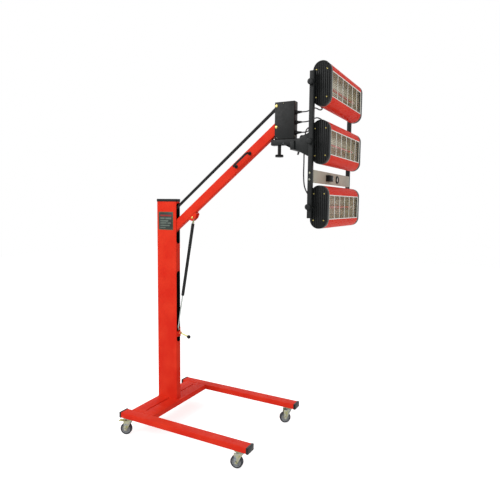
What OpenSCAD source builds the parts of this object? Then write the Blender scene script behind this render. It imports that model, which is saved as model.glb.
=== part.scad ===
// Infrared curing lamp: a wheeled stand, a gas-sprung parallel arm and three tilting lamp cassettes.
// X runs forward, Z up. The origin is on the floor, below the centre of the whole lamp.

/* [Base] */
// Length of a leg tube
leg_length = 804; // [600:1:1000]
// Width of a leg tube
leg_width = 60; // [50:1:80]
// Height of the leg and cross tubes
leg_height = 30; // [25:1:40]
// Width of the base over both legs
base_width = 638; // [560:1:760]
// Wall of the leg and cross tubes
base_wall = 2.5; // [2:0.1:4]
// Width of one of the two cross tubes
cross_tube_width = 75; // [60:1:90]
// Groove between the two cross tubes
cross_groove = 5; // [3:1:12]
// Distance of the cross tubes from the rear end of the legs
cross_offset = 30; // [20:1:60]
// How far an end cap stands proud of its leg
cap_proud = 4; // [2:0.5:8]

/* [Casters] */
// Height from the floor to the underside of the legs
caster_height = 97; // [92:1:120]
// Diameter of a caster wheel
wheel_diameter = 65; // [55:1:70]
// Width of a caster wheel
wheel_width = 24; // [18:1:28]
// Distance of the wheel axle behind the swivel axis
caster_trail = 23; // [18:1:28]
// Distance of a swivel axis from the end of its leg
caster_inset = 45; // [36:1:60]
// Swivel of the near front caster at rest
front_near_swivel = 10; // [-40:1:40]
// Swivel of the far front caster at rest
front_far_swivel = 35; // [-40:1:40]
// Swivel of the near rear caster at rest
rear_near_swivel = 20; // [-40:1:40]
// Swivel of the far rear caster at rest
rear_far_swivel = -20; // [-40:1:40]

/* [Mast] */
// Depth of the mast, front to back
mast_depth = 140; // [120:1:160]
// Width of the mast, side to side
mast_width = 40; // [38:1:50]
// Height of the mast tube
mast_height = 1175; // [1100:1:1300]
// Wall of the mast tube
mast_wall = 2.5; // [2:0.1:3]
// Distance of the mast from the rear end of the legs
mast_offset = 25; // [15:1:40]
// Width of both slots in the front of the mast
slot_width = 34; // [33:0.5:34.5]
// Height of the label plate
label_height = 105; // [80:1:120]

/* [Arm] */
// Distance of the arm pivot below the top of the mast
arm_pivot_below = 181; // [167:1:212]
// Distance of the arm pivot from the rear wall of the mast
arm_pivot_depth = 79; // [70:1:88]
// Length of the arm between its pivots
arm_length = 887; // [800:1:950]
// Height of the arm tube
arm_height = 50; // [40:1:52]
// Width of the arm tube
arm_width = 30; // [28:0.5:30]
// Wall of the arm tube
arm_wall = 2.5; // [2:0.1:3]
// Angle of the arm above level at rest
arm_angle = 39; // [36:1:39]
// Height between the arm and the level rod
link_height = 104; // [100:1:106]
// Diameter of the level rod
level_rod_diameter = 16; // [12:1:17]
// Diameter of the pivot pins of the arm and the rod
pivot_pin_diameter = 12; // [10:1:14]

/* [Gas spring] */
// Distance of the upper pin along the arm
spring_along = 191; // [185:1:196]
// Distance of the upper pin below the middle of the arm
spring_below = 36; // [35:1:38]
// Distance of the lower pin from the rear of the legs
spring_foot_x = 160; // [158:1:161]
// Distance of the lower pin below the top of the mast
spring_foot_below = 750; // [746:1:754]
// Diameter of the spring cylinder
spring_diameter = 18; // [15:1:20]
// Length of the spring cylinder
spring_cylinder_length = 430; // [400:1:440]
// Diameter of the spring rod
spring_rod_diameter = 8; // [6:1:10]

/* [Head] */
// Depth of the head bracket, front to back
head_depth = 107; // [100:1:120]
// Height of the head bracket
head_height = 183; // [178:1:200]
// Width of the head bracket
head_width = 40; // [36:1:44]
// Sheet of the head bracket
head_wall = 2; // [1.5:0.1:2.5]
// Reach of the swivel arm ahead of the yaw axis
swivel_reach = 119; // [110:1:140]
// Height of the swivel arm
swivel_height = 29; // [26:1:34]
// Diameter of the roll hub
hub_diameter = 64; // [56:1:70]
// Diameter of the yaw pin
yaw_pin_diameter = 12; // [10:1:14]
// Diameter of the roll shaft
roll_shaft_diameter = 16; // [14:1:18]

/* [Lamp frame] */
// Distance of the middle cassette's axis below the roll hub
frame_below_hub = 40.4; // [28:0.1:53]
// Length of the two upright bars
bar_length = 626; // [600:1:640]
// Side of the square bars
bar_side = 20; // [18:1:22]
// Width of the lamp frame over both bars
frame_width = 568; // [540:1:590]
// Distance of the bar centres ahead of the head pivots
bar_reach = 287; // [280:1:300]

/* [Cassettes] */
// Height of a cassette
cassette_height = 190; // [180:1:192]
// Depth of a cassette
cassette_depth = 80; // [74:1:84]
// Gap between a cassette and a bar
bar_gap = 14; // [9:0.5:29]
// Wall of a cassette housing
cassette_wall = 2; // [1.5:0.1:2.5]
// Thickness of an end cap
end_cap_thickness = 25; // [20:1:30]
// Distance from the middle cassette up to the top one
top_spacing = 247; // [240:1:260]
// Distance from the middle cassette down to the bottom one
bottom_spacing = 281; // [275:1:290]
// Diameter of a tilt knob
knob_diameter = 27; // [24:1:30]
// Diameter of a lamp tube
tube_diameter = 10; // [8:1:12]
// Number of level wires in a grille
wire_count = 13; // [9:1:17]
// Number of upright wires in a grille
upright_count = 5; // [3:1:7]

/* [Hidden] */
$fn = 48;

// General clearances
overrun = 1;
running_gap = 0.3;
shaft_gap = 0.05;
pin_bush_wall = 3;

// Base, worked out
cap_plug = 12;
leg_top = caster_height + leg_height;
leg_centre_y = (base_width - leg_width) / 2;
cross_length = base_width - 2 * leg_width;
groove_end = 30;

// Mast, worked out
mast_top = leg_top + mast_height;
mast_front = mast_offset + mast_depth;
mast_inner_half = mast_width / 2 - mast_wall;
cap_height = 16;
cap_lip = 1;
cap_insert = 8;
slot_margin = 8;
upper_slot_length = 235;
lower_slot_below = 404;
lower_slot_length = 421;
upper_slot_top = mast_top - slot_margin;
upper_slot_bottom = upper_slot_top - upper_slot_length;
lower_slot_top = mast_top - lower_slot_below;
lower_slot_bottom = lower_slot_top - lower_slot_length;
label_depth = 105;
label_inset = 14;
label_thickness = 1.2;
label_below = 164;
label_bottom = mast_top - label_below;
inlet_height = 190;
inlet_bore = 12.4;

// Casters, worked out
wheel_radius = wheel_diameter / 2;
axle_diameter = 8;
plate_thickness = 3;
plate_length = 56;
race_diameter = 36;
race_height = 6;
crown_height = 8;
crown_top = caster_height - plate_thickness - race_height - running_gap;
fork_sheet = 2.5;
wheel_side_gap = 2;
fork_inner = wheel_width / 2 + wheel_side_gap;
fork_front = -10;
fork_rear = 34;
axle_boss = 18;
pedal_pin_diameter = 5;
pedal_pin_x = 30;
pedal_pin_z = 74;
pedal_lug = 9;
pedal_length = 34;
pedal_sheet = 2.5;
pedal_width = 26;

// Arm, worked out
arm_pivot_x = mast_offset + arm_pivot_depth;
arm_pivot_height = mast_top - arm_pivot_below;
rod_pivot_height = arm_pivot_height + link_height;
head_pivot_x = arm_pivot_x + arm_length * cos(arm_angle);
head_pivot_height = arm_pivot_height + arm_length * sin(arm_angle);
head_link_height = head_pivot_height + link_height;
arm_tail = 22;
rod_lug_width = 10;
rod_lug_height = 20;
handle_start = 586;
handle_end = 690;
handle_stand_off = 34;
handle_bar = 11;
handle_foot = 20;
handle_foot_height = 4;

// Gas spring, worked out
spring_top_x = arm_pivot_x + spring_along * cos(arm_angle) + spring_below * sin(arm_angle);
spring_top_height = arm_pivot_height + spring_along * sin(arm_angle) - spring_below * cos(arm_angle);
spring_foot_height = mast_top - spring_foot_below;
spring_run = spring_top_x - spring_foot_x;
spring_drop = spring_top_height - spring_foot_height;
spring_lean = atan(spring_run / spring_drop);
spring_length = sqrt(spring_run * spring_run + spring_drop * spring_drop);
spring_pin_diameter = 8;
spring_eye = 18;
spring_eye_width = 8;
spring_neck = 34;
spring_collar = 6;
spring_wall = 1.5;
bracket_sheet = 3;
bracket_start = 160;
bracket_end = 226;
bracket_tip = 14;
bracket_tab = 2;
bolt_head = 13;
bolt_head_height = 5;

// Spring anchor in the lower slot, worked out
anchor_below_pin = 44;
anchor_bottom = spring_foot_height - anchor_below_pin;
anchor_height = 31;
anchor_back = 130;
anchor_nose = 4;
anchor_side_gap = 1.5;
anchor_nose_half = slot_width / 2 - anchor_side_gap;
anchor_lug_gap = 3;
anchor_lug = 5;
anchor_lug_depth = 20;
anchor_lug_height = 24;
lever_ear_reach = 14;
lever_ear = 3;
lever_eye = 12;
lever_eye_width = 9.4;
lever_pin = 5;
lever_rod = 8;
lever_length = 64;
lever_ball = 22;
lever_angle = 15;
lever_gap = 1.5;
lever_x = mast_front + anchor_nose + lever_eye / 2 + lever_gap;
lever_rise = 23;
lever_height = anchor_bottom + lever_rise;

// Head, worked out
head_pivot_inset = 9;
head_below_pivot = 60;
head_back = head_pivot_x - head_pivot_inset;
head_front = head_back + head_depth;
head_bottom = head_pivot_height - head_below_pivot;
head_top = head_bottom + head_height;
head_inner_half = head_width / 2 - head_wall;
gland_low = 30;
gland_middle = 80;
gland_high = 129;
gland_heights = [head_bottom + gland_high, head_bottom + gland_middle, head_bottom + gland_low];
gland_thread = 12;
gland_nut = 22;
gland_nut_length = 8;
gland_taper_length = 24;
gland_shoulder = 16;
gland_end = 9;
lead_diameter = 6;
lead_sides = 8;
block_start = 52;
block_length = 36;
block_width = 28;
block_height = 18;
bolt_flange = 14;
bolt_flange_height = 3;

// Swivel arm, worked out
yaw_ahead = 10;
yaw_x = head_pivot_x + yaw_ahead;
swivel_top = head_bottom - running_gap;
swivel_bottom = swivel_top - swivel_height;
swivel_width = 36;
swivel_wall = 3;
swivel_tail = 41;
swivel_back = yaw_x - swivel_tail;
flange_thickness = 6;
flange_x = yaw_x + swivel_reach;
swivel_front = flange_x;
hub_drop = 1;
hub_z = swivel_bottom + swivel_height / 2 - hub_drop;
gusset_drop = 29;
gusset_sheet = 6;
yaw_knob_diameter = 42;
yaw_knob_thickness = 12;
yaw_boss_diameter = 18;
yaw_boss_length = 46;
yaw_pin_above = 5;

// Roll hub and clamp, worked out
hub_length = 28;
hub_x = flange_x + flange_thickness + running_gap;
roll_nut = 26;
roll_nut_length = 6;
clamp_boss = 16;
clamp_boss_length = 15;
clamp_root = 14;
clamp_stud = 8;
clamp_stud_depth = 12;
clamp_length = 72;
clamp_thin = 7;
clamp_lean = 16;
clamp_x = hub_x + hub_length / 2;
clamp_gap = 1;
clamp_y = hub_diameter / 2 + clamp_gap;

// Lamp frame, worked out
bar_x = head_pivot_x + bar_reach;
bar_y = (frame_width - bar_side) / 2;
frame_middle_height = hub_z - frame_below_hub;
bar_below = 330;
bar_bottom = frame_middle_height - bar_below;
cross_behind = 95;
cross_x = bar_x - cross_behind;
cross_side = 20;
frame_wall = 2;
cross_height = 40;
cross_drop = 52;
cross_z = hub_z - cross_drop;
gusset_inset = 20;
gusset_x = hub_x + gusset_inset;
gusset_plate = 4;
gusset_plate_x = cross_x - gusset_plate;
hub_gusset_y = 26;
hub_gusset_sheet = 4;
hub_gusset_half = 30;
hub_gusset_rise = 38;
side_gusset_half = 18;
side_gusset_reach = 52;
plate_low = cross_z - cross_height / 2;
plate_high = hub_z + hub_gusset_rise;
side_gusset_sheet = 6;
trunnion_diameter = 10;
trunnion_boss = 24;
cap_gap = 0.3;

// Sensor, worked out
sensor_below = 176;
sensor_plate_bottom = frame_middle_height - sensor_below;
sensor_plate_height = 56;
sensor_ahead = 12;
sensor_plate_x = bar_x + sensor_ahead;
sensor_sheet = 2;
sensor_flange = 20;
sensor_screw = 6;
sensor_screw_head = 9;
sensor_screw_height = 3;
sensor_block_start = -107;
sensor_block_width = 52;
sensor_block_height = 29;
sensor_block_depth = 22;
sensor_ring = 38;
sensor_ring_hole = 22;
sensor_ring_depth = 5;
sensor_ring_y = 55;

// Cassettes, worked out
cassette_radius = cassette_depth / 2;
cassette_length = frame_width - 2 * (bar_side + bar_gap);
cassette_back = 8;
cassette_mid = cassette_depth / 2 - cassette_back;
cassette_front = cassette_depth - cassette_back;
window_height = cassette_height - cassette_depth;
body_half = cassette_length / 2 - end_cap_thickness;
groove_width = 3;
groove_depth = 4;
rib_count = 8;
cap_spigot = 3;
cap_wall = 3;
reflector_margin = 3;
reflector_radius = window_height / 2 - reflector_margin;
reflector_sheet = 1;
reflector_step = 4;
reflector_x = cassette_front - cassette_wall - reflector_step;
vent_hole = 5;
vent_count = 9;
ceramic_diameter = 14;
ceramic_length = 16;
tube_ahead = 4;
tube_x = cassette_mid + tube_ahead;
tube_wall = 1;
tube_end = 2;
grille_rim = 4;
grille_depth = 2.5;
wire = 1.6;
upright = 2.5;
knob_length = 18;
knob_washer = 1.5;
knob_washer_diameter = 20;
far_stub = 8;

// Middle of each cassette: top, middle, bottom
cassette_heights = [
    frame_middle_height + top_spacing,
    frame_middle_height,
    frame_middle_height - bottom_spacing
];

// Routes of the three lamp leads, from the glands to the cassettes
lead_top_route = [
    [923.5, 0, 1748], [945, 0, 1748], [970, -20, 1748], [1000, -65, 1744], [1030, -120, 1736],
    [1060, -165, 1726], [1085, -190, 1716], [1100, -200, 1712]
];
lead_middle_route = [
    [923.5, 0, 1699], [945, 0, 1699], [970, -16, 1699], [1000, -55, 1697], [1030, -105, 1692],
    [1060, -155, 1684], [1085, -185, 1674], [1100, -200, 1662]
];
lead_bottom_route = [
    [923.5, 0, 1649], [945, 0, 1649], [968, -24, 1650], [988, -70, 1652], [1008, -130, 1646],
    [1018, -180, 1625], [1021, -200, 1590], [1021, -205, 1540], [1021, -205, 1480], [1021, -205, 1420],
    [1026, -205, 1375], [1040, -205, 1345], [1056, -205, 1330], [1071, -205, 1326]
];

// Where the row's origin lies along the legs, so that it is below the middle of the whole lamp
pedal_reach = pedal_pin_x + pedal_length;
row_back = caster_inset - pedal_reach * cos(rear_near_swivel) - pedal_width / 2 * abs(sin(rear_near_swivel));
row_front = bar_x + cassette_front;
origin_x = (row_back + row_front) / 2;

function unit(v) = v / norm(v);
function route_tangent(p, i) =
    unit(p[min(i + 1, len(p) - 1)] - p[max(i - 1, 0)]);
function side_vector(t) = unit(cross(t, [1, 1, 0]));

// A tube of flat sides that follows a list of points
module swept_lead(route) {
    radius = lead_diameter / 2;
    count = len(route);
    points = [
        for (i = [0:count - 1])
            let (t = route_tangent(route, i), u = side_vector(t), w = cross(u, t))
            for (k = [0:lead_sides - 1])
                let (a = 360 * k / lead_sides)
                route[i] + radius * (cos(a) * u + sin(a) * w)
    ];
    sides = [
        for (i = [0:count - 2])
            for (k = [0:lead_sides - 1])
                let (a = i * lead_sides + k, b = i * lead_sides + (k + 1) % lead_sides)
                each [[a, b, b + lead_sides], [a, b + lead_sides, a + lead_sides]]
    ];
    last = (count - 1) * lead_sides;
    first_cap = [for (k = [1:lead_sides - 2]) [0, k + 1, k]];
    last_cap = [for (k = [1:lead_sides - 2]) [last, last + k, last + k + 1]];
    polyhedron(points = points, faces = concat(sides, first_cap, last_cap));
}

// A round bar along Y, centred on Y
module cross_pin(diameter, length) {
    rotate([90, 0, 0])
        cylinder(d = diameter, h = length, center = true);
}

// A round bar along X, starting at X = 0
module long_pin(diameter, length) {
    rotate([0, 90, 0])
        cylinder(d = diameter, h = length);
}

// A box centred on Y
module mid_box(x, z, depth, width, height) {
    translate([x, -width / 2, z])
        cube([depth, width, height]);
}

// A square tube along X, centred on Y and Z
module arm_section(start, length, width, height, wall) {
    difference() {
        mid_box(start, -height / 2, length, width, height);
        mid_box(start - overrun, wall - height / 2, length + 2 * overrun,
            width - 2 * wall, height - 2 * wall);
    }
}

// Base
module leg(side) {
    color("crimson")
    translate([0, side * leg_centre_y, caster_height])
    difference() {
        mid_box(0, 0, leg_length, leg_width, leg_height);
        mid_box(-overrun, base_wall, leg_length + 2 * overrun, leg_width - 2 * base_wall,
            leg_height - 2 * base_wall);
    }
}

module cross_tube(x) {
    difference() {
        mid_box(x, 0, cross_tube_width, cross_length, leg_height);
        mid_box(x + base_wall, base_wall, cross_tube_width - 2 * base_wall, cross_length + 2 * overrun,
            leg_height - 2 * base_wall);
    }
}

module crossbar() {
    filler_x = cross_offset + cross_tube_width;
    color("crimson")
    translate([0, 0, caster_height]) {
        cross_tube(cross_offset);
        cross_tube(filler_x + cross_groove);
        for (side = [-1, 1])
            translate([0, side * (cross_length - groove_end) / 2, 0])
                mid_box(filler_x, 0, cross_groove, groove_end, leg_height);
        mid_box(filler_x, 0, cross_groove, cross_length, base_wall);
    }
}

module leg_end_caps() {
    color("black")
    for (side = [-1, 1])
        for (x = [0, leg_length])
            translate([x, side * leg_centre_y, caster_height])
            mirror([x == 0 ? 1 : 0, 0, 0]) {
                mid_box(0, 0, cap_proud, leg_width, leg_height);
                mid_box(-cap_plug, base_wall, cap_plug,
                    leg_width - 2 * base_wall, leg_height - 2 * base_wall);
            }
}

// Mast
module slot_cut(bottom, top) {
    translate([mast_front - mast_wall - overrun, 0, 0])
    rotate([90, 0, 90])
    linear_extrude(mast_wall + 2 * overrun) {
        translate([0, bottom + slot_width / 2])
            circle(d = slot_width);
        translate([0, top - slot_width / 2])
            circle(d = slot_width);
        translate([-slot_width / 2, bottom + slot_width / 2])
            square([slot_width, top - bottom - slot_width]);
    }
}

module mast() {
    color("crimson")
    difference() {
        mid_box(mast_offset, leg_top, mast_depth, mast_width, mast_height);
        mid_box(mast_offset + mast_wall, leg_top - overrun, mast_depth - 2 * mast_wall,
            2 * mast_inner_half, mast_height + 2 * overrun);
        slot_cut(upper_slot_bottom, upper_slot_top);
        slot_cut(lower_slot_bottom, lower_slot_top);
        translate([mast_offset - overrun, 0, inlet_height])
            long_pin(inlet_bore, mast_wall + 2 * overrun);
    }
}

module mast_cap() {
    color("black") {
        mid_box(mast_offset - cap_lip, mast_top, mast_depth + 2 * cap_lip,
            mast_width + 2 * cap_lip, cap_height);
        mid_box(mast_offset + mast_wall, mast_top - cap_insert, mast_depth - 2 * mast_wall,
            2 * mast_inner_half, cap_insert);
    }
}

module label_plate() {
    label_x = mast_offset + label_inset;
    color("dimgray")
    translate([label_x, -mast_width / 2 - label_thickness, label_bottom])
        cube([label_depth, label_thickness, label_height]);
}

// The pivot pins of the arm and the level rod, between the side walls of the mast
module mast_pins() {
    color("silver")
    for (z = [arm_pivot_height, rod_pivot_height])
        translate([arm_pivot_x, 0, z])
            cross_pin(pivot_pin_diameter, 2 * mast_inner_half);
}

// Block in the lower slot that carries the foot of the gas spring
module spring_anchor() {
    inner_front = mast_front - mast_wall - running_gap;
    nose_front = mast_front + anchor_nose;
    lug_y = spring_eye_width / 2 + anchor_lug_gap;
    color("crimson")
    difference() {
        union() {
            mid_box(anchor_back, anchor_bottom, inner_front - anchor_back,
                2 * mast_inner_half - 2 * running_gap, anchor_height);
            mid_box(inner_front, anchor_bottom, nose_front - inner_front,
                2 * anchor_nose_half, anchor_height);
            for (side = [-1, 1])
                translate([nose_front, side * (lever_eye_width / 2 + running_gap + lever_ear / 2), 0])
                    mid_box(0, lever_height - lever_eye / 2, lever_ear_reach, lever_ear, lever_eye);
            translate([spring_foot_x - anchor_lug_depth / 2, lug_y, anchor_bottom + anchor_height])
                cube([anchor_lug_depth, anchor_lug, anchor_lug_height]);
            translate([spring_foot_x, lug_y + anchor_lug / 2 - anchor_lug_gap / 2, spring_foot_height])
                cross_pin(spring_pin_diameter, anchor_lug + anchor_lug_gap - 2 * running_gap);
        }
        translate([lever_x, 0, lever_height])
            cross_pin(lever_pin + 2 * shaft_gap, 2 * mast_width);
    }
}

// Lever with a ball, hinged on the anchor block
module anchor_lever() {
    color("silver")
    translate([lever_x, 0, lever_height]) {
        cross_pin(lever_pin, lever_eye_width + 2 * lever_ear + 2 * running_gap);
        cross_pin(lever_eye, lever_eye_width);
        rotate([0, lever_angle, 0]) {
            long_pin(lever_rod, lever_length);
            translate([lever_length, 0, 0])
                sphere(d = lever_ball);
        }
    }
}

// Casters
function caster_x(end) = end == 1 ? leg_length - caster_inset : caster_inset;

module caster_place(end, side, swivel) {
    translate([caster_x(end), side * leg_centre_y, 0])
    rotate([0, 0, 180 + swivel])
        children();
}

module caster_plates() {
    color("silver")
    for (end = [-1, 1])
        for (side = [-1, 1])
            translate([caster_x(end), side * leg_centre_y, 0]) {
                mid_box(-plate_length / 2, caster_height - plate_thickness, plate_length, plate_length,
                    plate_thickness);
                translate([0, 0, caster_height - plate_thickness - race_height])
                    cylinder(d = race_diameter, h = race_height);
            }
}

module fork(braked) {
    crown_bottom = crown_top - crown_height;
    color("silver") {
        translate([0, 0, crown_bottom])
            cylinder(d = race_diameter, h = crown_height);
        mid_box(fork_front, crown_bottom, race_diameter / 2 - fork_front,
            2 * (fork_inner + fork_sheet), fork_sheet);
        for (side = [-1, 1])
            translate([0, side * (fork_inner + fork_sheet / 2) + fork_sheet / 2, 0])
            rotate([90, 0, 0])
            linear_extrude(fork_sheet) {
                polygon([
                    [fork_front, crown_bottom + fork_sheet],
                    [fork_front, crown_bottom],
                    [caster_trail - axle_boss / 2, wheel_radius],
                    [caster_trail + axle_boss / 2, wheel_radius],
                    [fork_rear, crown_bottom],
                    [fork_rear, crown_bottom + fork_sheet]
                ]);
                translate([caster_trail, wheel_radius])
                    circle(d = axle_boss);
            }
        translate([caster_trail, 0, wheel_radius])
            cross_pin(axle_diameter, 2 * (fork_inner + fork_sheet) + 2 * bolt_head_height);
        if (braked)
            translate([pedal_pin_x, 0, pedal_pin_z])
                cross_pin(pedal_pin_diameter, 2 * (fork_inner + fork_sheet));
    }
}

module wheel() {
    tread = wheel_width / 2;
    round = 3;
    hub_proud = 1;
    hub_half = wheel_width / 2 + hub_proud;
    hub_radius = 11;
    bore = axle_diameter / 2 + shaft_gap;
    color("dimgray")
    translate([caster_trail, 0, wheel_radius])
    rotate([90, 0, 0])
    rotate_extrude($fn = 64)
        polygon([
            [bore, -hub_half], [hub_radius, -hub_half], [hub_radius, -tread + 2 * round],
            [wheel_radius - 3 * round, -tread + 2 * round], [wheel_radius - 3 * round, -tread],
            [wheel_radius - round, -tread], [wheel_radius, -tread + round], [wheel_radius, tread - round],
            [wheel_radius - round, tread], [wheel_radius - 3 * round, tread],
            [wheel_radius - 3 * round, tread - 2 * round], [hub_radius, tread - 2 * round],
            [hub_radius, hub_half], [bore, hub_half]
        ]);
}

module brake_pedal() {
    color("darkkhaki")
    translate([pedal_pin_x, 0, pedal_pin_z])
    difference() {
        union() {
            cross_pin(pedal_lug, pedal_width);
            mid_box(0, pedal_lug / 2 - pedal_sheet, pedal_length, pedal_width, pedal_sheet);
            mid_box(pedal_length - pedal_sheet, pedal_lug / 2 - 2 * pedal_sheet, pedal_sheet, pedal_width,
                2 * pedal_sheet);
        }
        cross_pin(pedal_pin_diameter + 2 * shaft_gap, pedal_width + 2 * overrun);
    }
}

// Arm
module arm_place() {
    translate([arm_pivot_x, 0, arm_pivot_height])
    rotate([0, -arm_angle, 0])
        children();
}

module arm_tube() {
    bush = pivot_pin_diameter + 2 * pin_bush_wall;
    color("crimson")
    arm_place()
    difference() {
        union() {
            arm_section(-arm_tail, arm_length + 2 * arm_tail, arm_width, arm_height, arm_wall);
            for (x = [0, arm_length])
                translate([x, 0, 0])
                    cross_pin(bush, arm_width);
        }
        for (x = [0, arm_length])
            translate([x, 0, 0])
                cross_pin(pivot_pin_diameter + 2 * shaft_gap, arm_width + 2 * overrun);
    }
}

module arm_handle() {
    bar_y = arm_width / 2 + handle_stand_off;
    color("black")
    arm_place() {
        for (x = [handle_start, handle_end])
            translate([x, -arm_width / 2, 0])
            rotate([90, 0, 0]) {
                cylinder(d = handle_foot, h = handle_foot_height);
                cylinder(d = handle_bar, h = handle_stand_off);
                translate([0, 0, handle_stand_off])
                    sphere(d = handle_bar);
            }
        translate([handle_start, -bar_y, 0])
            long_pin(handle_bar, handle_end - handle_start);
    }
}

// Two welded cheeks below the arm that carry the upper pin of the gas spring
module spring_bracket() {
    top = -arm_height / 2;
    color("crimson")
    arm_place()
    for (side = [-1, 1])
        translate([0, side * (arm_width / 2 - bracket_sheet / 2) + bracket_sheet / 2, 0])
        rotate([90, 0, 0])
        difference() {
            linear_extrude(bracket_sheet)
                polygon([
                    [bracket_start, top],
                    [spring_along - bracket_tip, -spring_below - bracket_tip],
                    [spring_along + bracket_tip, -spring_below - bracket_tip],
                    [bracket_end, top - bracket_tip],
                    [bracket_end, top]
                ]);
            translate([spring_along, -spring_below, -overrun])
                cylinder(d = spring_pin_diameter + 2 * shaft_gap, h = bracket_sheet + 2 * overrun);
        }
}

module spring_bolt() {
    color("gold")
    arm_place()
    translate([spring_along, 0, -spring_below]) {
        cross_pin(spring_pin_diameter, arm_width + 2 * bolt_head_height);
        for (side = [-1, 1])
            translate([0, side * (arm_width + bolt_head_height) / 2, 0])
                cross_pin(bolt_head, bolt_head_height);
    }
}

module level_rod() {
    color("black")
    translate([arm_pivot_x, 0, rod_pivot_height])
    rotate([0, -arm_angle, 0])
    difference() {
        union() {
            translate([rod_lug_height, 0, 0])
                long_pin(level_rod_diameter, arm_length - 2 * rod_lug_height);
            for (x = [0, arm_length])
                translate([x, 0, 0])
                    cross_pin(rod_lug_height, rod_lug_width);
            mid_box(0, -level_rod_diameter / 2, 2 * rod_lug_height, rod_lug_width, level_rod_diameter);
            mid_box(arm_length - 2 * rod_lug_height, -level_rod_diameter / 2, 2 * rod_lug_height,
                rod_lug_width, level_rod_diameter);
        }
        for (x = [0, arm_length])
            translate([x, 0, 0])
                cross_pin(pivot_pin_diameter + 2 * shaft_gap, rod_lug_width + 2 * overrun);
    }
}

// Gas spring, drawn down from its upper pin
module spring_place() {
    translate([spring_top_x, 0, spring_top_height])
    rotate([0, 180 + spring_lean, 0])
        children();
}

module gas_cylinder() {
    rod_bore = spring_rod_diameter + 2 * shaft_gap;
    cavity = spring_diameter - 2 * spring_wall;
    color("black")
    spring_place()
    difference() {
        union() {
            translate([0, 0, spring_neck])
                cylinder(d = spring_diameter, h = spring_cylinder_length);
            cylinder(d = spring_rod_diameter, h = spring_neck);
            cross_pin(spring_eye, spring_eye_width);
        }
        cross_pin(spring_pin_diameter + 2 * shaft_gap, spring_eye_width + 2 * overrun);
        translate([0, 0, spring_neck + spring_collar])
            cylinder(d = cavity, h = spring_cylinder_length - 2 * spring_collar);
        translate([0, 0, spring_neck + spring_cylinder_length - 2 * spring_collar])
            cylinder(d = rod_bore, h = 2 * spring_collar + overrun);
    }
}

module gas_rod() {
    piston = spring_diameter - 2 * spring_wall - 2 * running_gap;
    piston_length = 8;
    piston_z = spring_neck + spring_cylinder_length - spring_collar - running_gap - piston_length;
    color("silver")
    spring_place() {
        difference() {
            union() {
                translate([0, 0, piston_z])
                    cylinder(d = spring_rod_diameter, h = spring_length - piston_z);
                translate([0, 0, piston_z])
                    cylinder(d = piston, h = piston_length);
                translate([0, 0, spring_length])
                    cross_pin(spring_eye, spring_eye_width);
            }
            translate([0, 0, spring_length])
                cross_pin(spring_pin_diameter + 2 * shaft_gap, spring_eye_width + 2 * overrun);
        }
    }
}

// Head
module head_bracket() {
    color("black")
    difference() {
        mid_box(head_back, head_bottom, head_depth, head_width, head_height);
        mid_box(head_back - overrun, head_bottom + head_wall, head_depth - head_wall + overrun,
            2 * head_inner_half, head_height - 2 * head_wall);
        for (z = gland_heights)
            translate([head_front - head_wall - overrun, 0, z])
                long_pin(gland_thread, head_wall + 2 * overrun);
        translate([yaw_x, 0, head_bottom - overrun])
            cylinder(d = yaw_pin_diameter + 2 * shaft_gap, h = head_wall + 2 * overrun);
        for (z = [head_pivot_height, head_link_height])
            translate([head_pivot_x, 0, z])
                cross_pin(pivot_pin_diameter, head_width + 2 * overrun);
    }
}

// Pivot bolts through the head bracket, with their flanged heads outside
module head_pins() {
    color("gold")
    for (z = [head_pivot_height, head_link_height])
        translate([head_pivot_x, 0, z]) {
            cross_pin(pivot_pin_diameter, head_width + 2 * overrun);
            for (side = [-1, 1])
                translate([0, side * (head_width + bolt_flange_height) / 2, 0])
                    cross_pin(bolt_flange, bolt_flange_height);
        }
}

module terminal_block() {
    color("ivory")
    difference() {
        mid_box(head_back + block_start, head_bottom + head_wall, block_length, block_width, block_height);
        for (k = [1:3])
            mid_box(head_back + block_start + k * block_length / 4 - overrun / 2,
                head_bottom + head_wall + block_height / 2, overrun, block_width + 2 * overrun, block_height);
    }
}

module gland(thread_length) {
    rotate([0, 90, 0]) {
        translate([0, 0, -thread_length])
            cylinder(d = gland_thread, h = thread_length);
        cylinder(d = gland_nut, h = gland_nut_length);
        translate([0, 0, gland_nut_length])
            cylinder(d1 = gland_shoulder, d2 = gland_end, h = gland_taper_length);
    }
}

module cable_glands() {
    color("black")
    for (z = gland_heights)
        translate([head_front, 0, z])
            gland(gland_nut_length);
}

module lead_top() {
    color("dimgray")
    translate([-origin_x, 0, 0])
        swept_lead(lead_top_route);
}

module lead_middle() {
    color("dimgray")
    translate([-origin_x, 0, 0])
        swept_lead(lead_middle_route);
}

module lead_bottom() {
    color("dimgray")
    translate([-origin_x, 0, 0])
        swept_lead(lead_bottom_route);
}

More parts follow.
